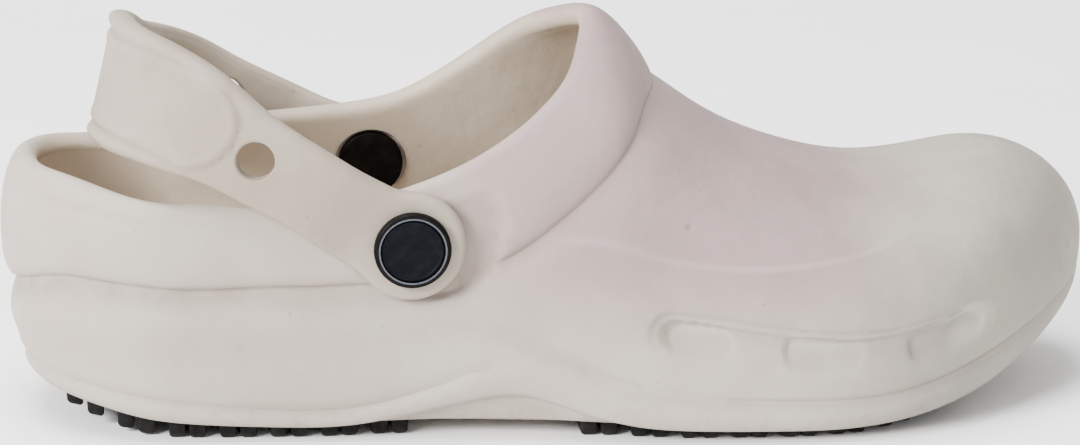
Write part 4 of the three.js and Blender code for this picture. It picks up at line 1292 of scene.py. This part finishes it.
def drill_hole(obj, seat):
    """Cuts one hole across the strap, with its rims rounded."""
    centre, _, up, out = strap_frame(hole_share(seat))
    run = np.cross(up, out)
    t = STRAP_THICKNESS / 2
    radius = STRAP_HOLE / 2
    outer_rim = []
    for a in np.linspace(0, math.pi / 2, 7):
        wide = radius + STRAP_HOLE_ROUND * (1 - math.cos(a))
        outer_rim.append((wide, t - STRAP_HOLE_ROUND * (1 - math.sin(a))))
    outer_rim += [(radius + 2 * STRAP_HOLE_ROUND, 3 * t), (0.0, 3 * t)]
    profile = [(r, -depth) for r, depth in reversed(outer_rim)] + outer_rim
    boolean(obj, turned("cutter", profile, centre, run, up, out, HOLE_SIDES))


# Rivets
def build_cap(seat):
    """Cap with a round edge, a recess for the plate and a shank through strap and side."""
    top = seat.cap + CAP_THICKNESS
    recess = BADGE_RADIUS + CLEARANCE
    profile = [(0, seat.inside - WASHER_THICKNESS / 2), (RIVET_RADIUS, seat.inside - WASHER_THICKNESS / 2)]
    profile += [(RIVET_RADIUS, seat.cap), (CAP_RADIUS - 0.3, seat.cap), (CAP_RADIUS, seat.cap + 0.3)]
    profile += [(CAP_RADIUS, top - 1.0)]
    profile += arc((CAP_RADIUS - CAP_ROUND, top - CAP_ROUND), CAP_ROUND, 0, 80, 7)[1:]
    profile += [(RING[1] + 0.04, top - 0.05), (RING[1], top), (RING[0], top), (recess, top - 0.2)]
    profile += [(recess, top - BADGE_THICKNESS), (0, top - BADGE_THICKNESS)]
    obj = lathe(f"cap_{seat.name}", profile, seat)
    shade_by_angle(obj, 50)
    return obj


def build_badge(seat):
    """Plate with a low round edge and a field that is dished by a hair."""
    base = seat.cap + CAP_THICKNESS - BADGE_THICKNESS + CLEARANCE
    top = base + BADGE_THICKNESS - CLEARANCE - BADGE_SUNK
    profile = [(0, base), (BADGE_RADIUS, base), (BADGE_RADIUS, top - 0.2), (BADGE_RADIUS - 0.18, top)]
    field = top - BADGE_STEP
    profile += [(BADGE_RADIUS - 0.6, top), (BADGE_RADIUS - 0.75, field)]
    profile += [(r, field - BADGE_DISH * (1 - (r / 7.0) ** 2)) for r in (6.9, 5.5, 3.5, 1.5)]
    profile += [(0, field - BADGE_DISH)]
    obj = lathe(f"badge_{seat.name}", profile, seat)
    shade_by_angle(obj, 30)
    return obj


def mark_ring(obj, seat):
    """Gives the flat ring on the cap's crest, just outside the plate, the second material slot."""
    centre = Vector(metres((seat.x, 0, seat.z)))
    low, high = (r / 1000 for r in RING)
    crest = (seat.cap + CAP_THICKNESS - 0.1) / 1000
    for face in obj.data.polygons:
        offset = face.center - centre
        if low < math.hypot(offset.x, offset.z) < high and offset.y * seat.side > crest:
            face.material_index = 1


def build_washer(seat):
    face = seat.inside - CLEARANCE
    bore = RIVET_RADIUS + CLEARANCE
    blind = seat.inside - WASHER_THICKNESS / 2 - CLEARANCE
    low = face - WASHER_THICKNESS
    profile = [(0, low)]
    profile += [(WASHER_RADIUS - 0.8, low), (WASHER_RADIUS - 0.4, low + 0.08)]
    profile += [(WASHER_RADIUS - 0.1, low + 0.3), (WASHER_RADIUS, low + 0.6)]
    profile += [(WASHER_RADIUS, face), (bore, face), (bore, blind), (0, blind)]
    obj = lathe(f"washer_{seat.name}", profile, seat)
    shade_by_angle(obj, 45)
    return obj


# Materials
class Tree:
    """Short names for the nodes of one material."""

    def __init__(self, name, roughness, specular=0.5):
        self.material = bpy.data.materials.new(name)
        self.material.use_nodes = True
        self.nodes = self.material.node_tree.nodes
        self.links = self.material.node_tree.links
        self.shader = self.nodes["Principled BSDF"]
        self.shader.inputs["Roughness"].default_value = roughness
        self.shader.inputs["Specular IOR Level"].default_value = specular
        self.place = self.nodes.new("ShaderNodeTexCoord").outputs["Object"]

    def link(self, out, socket):
        self.links.new(out, socket)
        return out

    def noise(self, size, detail=3.0, rough=0.55, stretch=None):
        """Noise with features of a size in millimetres."""
        node = self.nodes.new("ShaderNodeTexNoise")
        node.inputs["Scale"].default_value = 1000.0 / size
        node.inputs["Detail"].default_value = detail
        node.inputs["Roughness"].default_value = rough
        place = self.place
        if stretch:
            mapping = self.nodes.new("ShaderNodeMapping")
            mapping.inputs["Scale"].default_value = stretch
            self.link(place, mapping.inputs["Vector"])
            place = mapping.outputs["Vector"]
        self.link(place, node.inputs["Vector"])
        return node.outputs["Fac"]

    def span(self, value, low, high, to_low=0.0, to_high=1.0):
        node = self.nodes.new("ShaderNodeMapRange")
        node.interpolation_type = "SMOOTHSTEP"
        self.link(value, node.inputs["Value"])
        node.inputs["From Min"].default_value = low
        node.inputs["From Max"].default_value = high
        node.inputs["To Min"].default_value = to_low
        node.inputs["To Max"].default_value = to_high
        return node.outputs["Result"]

    def math(self, operation, a, b):
        node = self.nodes.new("ShaderNodeMath")
        node.operation = operation
        for value, socket in ((a, node.inputs[0]), (b, node.inputs[1])):
            if isinstance(value, (int, float)):
                socket.default_value = value
            else:
                self.link(value, socket)
        return node.outputs["Value"]

    def times(self, a, b):
        return self.math("MULTIPLY", a, b)

    def blend(self, share, a, b):
        """Mixes two colours, each a colour or a socket."""
        node = self.nodes.new("ShaderNodeMix")
        node.data_type = "RGBA"
        self.link(share, node.inputs["Factor"])
        for value, socket in ((a, node.inputs[6]), (b, node.inputs[7])):
            if isinstance(value, tuple):
                socket.default_value = (*value, 1.0)
            else:
                self.link(value, socket)
        return node.outputs[2]

    def attribute(self, name):
        node = self.nodes.new("ShaderNodeAttribute")
        node.attribute_name = name
        return node.outputs["Fac"]

    def axis(self, index):
        node = self.nodes.new("ShaderNodeSeparateXYZ")
        self.link(self.place, node.inputs["Vector"])
        return node.outputs[index]

    def distance(self, place):
        """Distance from a place in metres."""
        node = self.nodes.new("ShaderNodeVectorMath")
        node.operation = "DISTANCE"
        self.link(self.place, node.inputs[0])
        node.inputs[1].default_value = place
        return node.outputs["Value"]

    def bump(self, height, depth, after=None):
        """Bump of a depth in millimetres."""
        node = self.nodes.new("ShaderNodeBump")
        node.inputs["Strength"].default_value = 1.0
        node.inputs["Distance"].default_value = depth / 1000
        self.link(height, node.inputs["Height"])
        if after is not None:
            self.link(after, node.inputs["Normal"])
        return node.outputs["Normal"]

    def finish(self, colour=None, roughness=None, normal=None):
        if colour is not None:
            self.link(colour, self.shader.inputs["Base Color"])
        if roughness is not None:
            self.link(roughness, self.shader.inputs["Roughness"])
        if normal is not None:
            self.link(normal, self.shader.inputs["Normal"])
        return self.material


def srgb(red, green, blue):
    """Linear colour of a colour given in steps of 255."""
    def linear(value):
        value /= 255
        return value / 12.92 if value <= 0.04045 else ((value + 0.055) / 1.055) ** 2.4
    return tuple(linear(v) for v in (red, green, blue))


FOAM = srgb(160, 149, 138)
FOAM_LIGHT = srgb(165, 156, 146)
# Vamp pink and toe grey, darker than the heel's white: partly the foam's own tint, partly painted shade.
FOAM_PINK_SHADE = srgb(146, 126, 124)
FOAM_PINK_SHADE_DEEP = srgb(140, 121, 119)
FOAM_TOE_SHADE = srgb(149, 143, 132)
FOAM_TOE_SHADE_DEEP = srgb(142, 135, 126)
# Strap foam, darker than the shell's foam: painted shade.
FOAM_STRAP_SHADE = srgb(142, 130, 116)
FOAM_STRAP_SHADE_LIGHT = srgb(150, 139, 126)
# Dust and scuff tone, also used as painted shade in hollows and grooves.
FOAM_DUST_AND_SHADE = srgb(128, 115, 101)
# Painted light on the recess floors and ledges.
FOAM_PAINTED_LIGHT = srgb(190, 182, 173)
FOAM_INSIDE = srgb(184, 171, 153)
FOAM_INSIDE_DEEP = srgb(175, 160, 142)
SCUFF = srgb(88, 82, 76)

# Small marks of use on the moulding: place in the shoe's own frame, radius, strength
MARKS = (
    ((174.9, -41.6, 57.1), 1.0, 0.55),
    ((283.0, -11.7, 40.2), 1.4, 0.5),
    ((280.5, -20.0, 29.0), 2.2, 0.28),
    ((272.0, -26.0, 45.0), 1.6, 0.2),
    ((46.0, -36.5, 58.0), 1.2, 0.25),
    ((60.0, -38.0, 27.0), 1.6, 0.2),
    ((228.0, 30.0, 50.0), 1.5, 0.3),
    ((30.0, 30.0, 25.0), 2.0, 0.25),
)


def zone_colour_and_shade(tree):
    """Warm white at the heel, faint pink on the vamp, greyer towards the toe; the pink and the toe's grey
    are also darker, partly the foam's own tint and partly painted shade.
    """
    clouds = tree.span(tree.noise(24, 3.0), 0.36, 0.64)
    heel = tree.blend(clouds, FOAM, FOAM_LIGHT)
    vamp = tree.blend(clouds, FOAM_PINK_SHADE_DEEP, FOAM_PINK_SHADE)
    toe = tree.blend(clouds, FOAM_TOE_SHADE_DEEP, FOAM_TOE_SHADE)
    drift = tree.times(tree.noise(45, 2.0), 0.05)
    x = tree.math("ADD", tree.axis(0), drift)
    high = tree.span(tree.axis(2), 0.022, 0.050)
    # Pink over the vamp's upper part, darker than the heel: the foam's tint with painted shade.
    pink_and_shade = tree.times(tree.span(x, -0.045, 0.035), high)
    colour = tree.blend(pink_and_shade, heel, vamp)
    # Greyer and darker towards the toe: partly the foam's tone, partly painted shade.
    return tree.blend(tree.span(x, 0.085, 0.128), colour, toe)


def wear_shade_and_light(tree, colour):
    """Dust and painted shade in hollows, painted light in the recess, beige lining, scuffs at the toe and
    along the flange, and single marks.
    """
    # Painted shade in hollows and grooves, mottled like dust.
    dust_and_shade = tree.times(tree.attribute("shade"), tree.span(tree.noise(5, 4.0), 0.3, 0.7, 0.3, 0.8))
    colour = tree.blend(dust_and_shade, colour, FOAM_DUST_AND_SHADE)
    # Painted light on the recess floors, its upper step and the vamp panel's ledge.
    colour = tree.blend(tree.times(tree.attribute("painted_light"), 0.6), colour, FOAM_PAINTED_LIGHT)
    lining = tree.blend(tree.span(tree.noise(30, 3.0), 0.35, 0.65), FOAM_INSIDE_DEEP, FOAM_INSIDE)
    colour = tree.blend(tree.attribute("inside"), colour, lining)
    toe = tree.span(tree.axis(0), 0.085, 0.14)
    streaks = tree.span(tree.noise(2.2, 5.0, 0.7, (1.0, 1.0, 0.35)), 0.6, 0.74)
    colour = tree.blend(tree.times(toe, tree.times(streaks, 0.3)), colour, SCUFF)
    low = tree.span(tree.axis(2), 0.016, 0.003)
    rub = tree.span(tree.noise(3.5, 4.0, 0.6), 0.5, 0.72)
    colour = tree.blend(tree.times(low, tree.times(rub, 0.35)), colour, FOAM_DUST_AND_SHADE)
    for place, radius, strength in MARKS:
        distance = tree.distance(tuple(metres(place)))
        edge = tree.math("ADD", distance, tree.times(tree.noise(1.5, 2.0), 0.0012))
        spot = tree.span(edge, (radius + 0.9) / 1000, 0.0006, 0.0, strength)
        colour = tree.blend(spot, colour, SCUFF)
    return colour


def foam_material(name, moulding):
    tree = Tree(name, 0.62, 0.3)
    if moulding:
        colour = wear_shade_and_light(tree, zone_colour_and_shade(tree))
    else:
        # The strap's foam is darker than the shell's: painted shade.
        colour = tree.blend(tree.span(tree.noise(26, 3.0), 0.36, 0.64), FOAM_STRAP_SHADE, FOAM_STRAP_SHADE_LIGHT)
        colour = tree.blend(tree.attribute("inside"), colour, FOAM_INSIDE)
        # Painted shade in the groove round the strap's panel.
        colour = tree.blend(tree.attribute("shade"), colour, FOAM_DUST_AND_SHADE)
    specks = tree.span(tree.noise(1.3, 2.0, 0.5), 0.72, 0.78, 0.0, 0.45)
    colour = tree.blend(specks, colour, SCUFF)
    roughness = tree.span(tree.noise(6, 4.0), 0.3, 0.7, 0.5, 0.7)
    grain = tree.bump(tree.noise(0.6, 3.0, 0.6), 0.05)
    skin = tree.bump(tree.noise(3.2, 3.0, 0.5), 0.16, grain)
    waves = tree.bump(tree.noise(17, 2.0, 0.5), 0.6, skin)
    return tree.finish(colour, roughness, waves)


def rubber_material():
    tree = Tree("tread_rubber_look", 0.75, 0.15)
    dust_and_shade = tree.span(tree.noise(4, 5.0, 0.65), 0.4, 0.75)
    colour = tree.blend(dust_and_shade, srgb(13, 12, 11), srgb(27, 25, 23))
    tip = tree.span(tree.axis(2), 0.0016, 0.0, 0.0, 0.5)
    colour = tree.blend(tree.times(tip, tree.noise(2, 4.0)), colour, srgb(64, 59, 53))
    roughness = tree.span(tree.noise(5, 4.0), 0.3, 0.7, 0.6, 0.85)
    grain = tree.bump(tree.noise(0.4, 3.0), 0.05)
    return tree.finish(colour, roughness, tree.bump(tree.noise(2.5, 3.0), 0.12, grain))


def plastic_material(name, dark, light):
    tree = Tree(name, 0.55, 0.04)
    tree.shader.inputs["Coat Weight"].default_value = 0.015
    tree.shader.inputs["Coat Roughness"].default_value = 0.25
    colour = tree.blend(tree.span(tree.noise(3, 4.0), 0.4, 0.7), dark, light)
    scratches = tree.span(tree.noise(1.2, 5.0, 0.7, (1.0, 1.0, 0.12)), 0.55, 0.75)
    roughness = tree.math("ADD", tree.times(scratches, 0.15), 0.5)
    return tree.finish(colour, roughness, tree.bump(tree.noise(0.7, 3.0), 0.02))


def ring_material():
    tree = Tree("badge_ring_look", 0.45, 0.15)
    colour = tree.blend(tree.span(tree.noise(1.5, 4.0), 0.35, 0.7), srgb(76, 79, 86), srgb(62, 66, 73))
    roughness = tree.span(tree.noise(2, 3.0), 0.3, 0.7, 0.3, 0.5)
    return tree.finish(colour, roughness, tree.bump(tree.noise(0.5, 2.0), 0.01))


def floor_material():
    tree = Tree("floor_look", 0.8, 0.2)
    colour = tree.blend(tree.span(tree.noise(60, 3.0), 0.3, 0.7), srgb(250, 250, 250), srgb(246, 246, 245))
    return tree.finish(colour, None, tree.bump(tree.noise(1.5, 3.0), 0.02))


# Camera, light and floor
CAMERA_AZIMUTH, CAMERA_ELEVATION, CAMERA_ROLL = -6.5, 17.0, 0.54
CAMERA_DISTANCE = 1100.0
CAMERA_TARGET = (141.679, 0.0, 46.415)
SENSOR = 36.0
FOCAL_PIXELS, IMAGE_WIDTH = 4137.1, 1080.0

WORLD_LIGHT = 1.05
LIGHT_AIM = (0, 0, 0.05)
LIGHTS = (
    ("key", (-1.5, -1.15, 1.05), (0.9, 0.7), 108),
    ("top", (-0.3, 0.0, 1.9), (1.2, 0.9), 64),
)


def make_camera():
    azimuth, elevation, roll = (math.radians(a) for a in (CAMERA_AZIMUTH, CAMERA_ELEVATION, CAMERA_ROLL))
    back = Vector((
        math.sin(azimuth) * math.cos(elevation),
        -math.cos(azimuth) * math.cos(elevation),
        math.sin(elevation),
    ))
    level = Vector((math.cos(azimuth), math.sin(azimuth), 0))
    upright = back.cross(level)
    right = level * math.cos(roll) + upright * math.sin(roll)
    up = back.cross(right)
    data = bpy.data.cameras.new("camera")
    data.sensor_width = SENSOR
    data.sensor_fit = "HORIZONTAL"
    data.lens = SENSOR * FOCAL_PIXELS / IMAGE_WIDTH
    data.clip_end = 20
    camera = bpy.data.objects.new("camera", data)
    place = Vector(metres(CAMERA_TARGET)) + back * CAMERA_DISTANCE / 1000
    axes = Matrix((right, up, back)).transposed().to_4x4()
    camera.matrix_world = Matrix.Translation(place) @ axes
    bpy.context.scene.collection.objects.link(camera)
    bpy.context.scene.camera = camera


def area_light(name, place, aim, size, power):
    data = bpy.data.lights.new(name, "AREA")
    data.shape = "RECTANGLE"
    data.size, data.size_y = size
    data.energy = power
    light = bpy.data.objects.new(name, data)
    light.location = place
    light.rotation_euler = (Vector(aim) - Vector(place)).to_track_quat("-Z", "Y").to_euler()
    bpy.context.scene.collection.objects.link(light)


def make_studio():
    world = bpy.data.worlds.new("studio")
    bpy.context.scene.world = world
    world.use_nodes = True
    world.node_tree.nodes["Background"].inputs["Color"].default_value = (1, 1, 1, 1)
    world.node_tree.nodes["Background"].inputs["Strength"].default_value = WORLD_LIGHT
    for name, place, size, power in LIGHTS:
        area_light(name, place, LIGHT_AIM, size, power)
    points = [(-3000, -3000, 0), (3000, -3000, 0), (3000, 3000, 0), (-3000, 3000, 0)]
    floor = mesh_object("floor", points, [(0, 1, 2, 3)], smooth=False)
    floor.location.z = -0.0002 - SHIFT[2] / 1000
    floor.data.materials.append(floor_material())


def dress(obj, materials, slot_name, *nodes):
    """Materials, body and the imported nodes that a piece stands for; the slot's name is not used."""
    obj.data.materials.clear()
    for material in materials:
        obj.data.materials.append(material)
    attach(obj, BODY)
    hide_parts(*nodes)


def main():
    make_camera()
    make_studio()
    moulding = foam_material("moulding_look", True)
    strap_foam = foam_material("strap_look", False)
    rubber = rubber_material()
    cap_look = plastic_material("cap_look", srgb(10, 9, 8), srgb(19, 17, 16))
    washer_look = plastic_material("washer_look", srgb(12, 10, 9), srgb(20, 18, 16))
    plate_look = plastic_material("plate_look", srgb(7, 8, 13), srgb(13, 15, 21))
    ring_look = ring_material()
    dress(build_shell(), [moulding], "foam", "moulded_shell")
    dress(build_strap(), [strap_foam], "strap_foam", "heel_strap")
    for pad in PADS:
        dress(build_pad(pad), [rubber], "tread_rubber", f"tread_pad_{pad[0]}")
    for seat in SEATS:
        cap = build_cap(seat)
        dress(cap, [cap_look, ring_look], "rivet_plastic", f"rivet_cap_{seat.name}")
        mark_ring(cap, seat)
        dress(build_badge(seat), [plate_look], "badge_plate", f"rivet_badge_{seat.name}")
        dress(build_washer(seat), [washer_look], "rivet_plastic", f"rivet_washer_{seat.name}")


main()
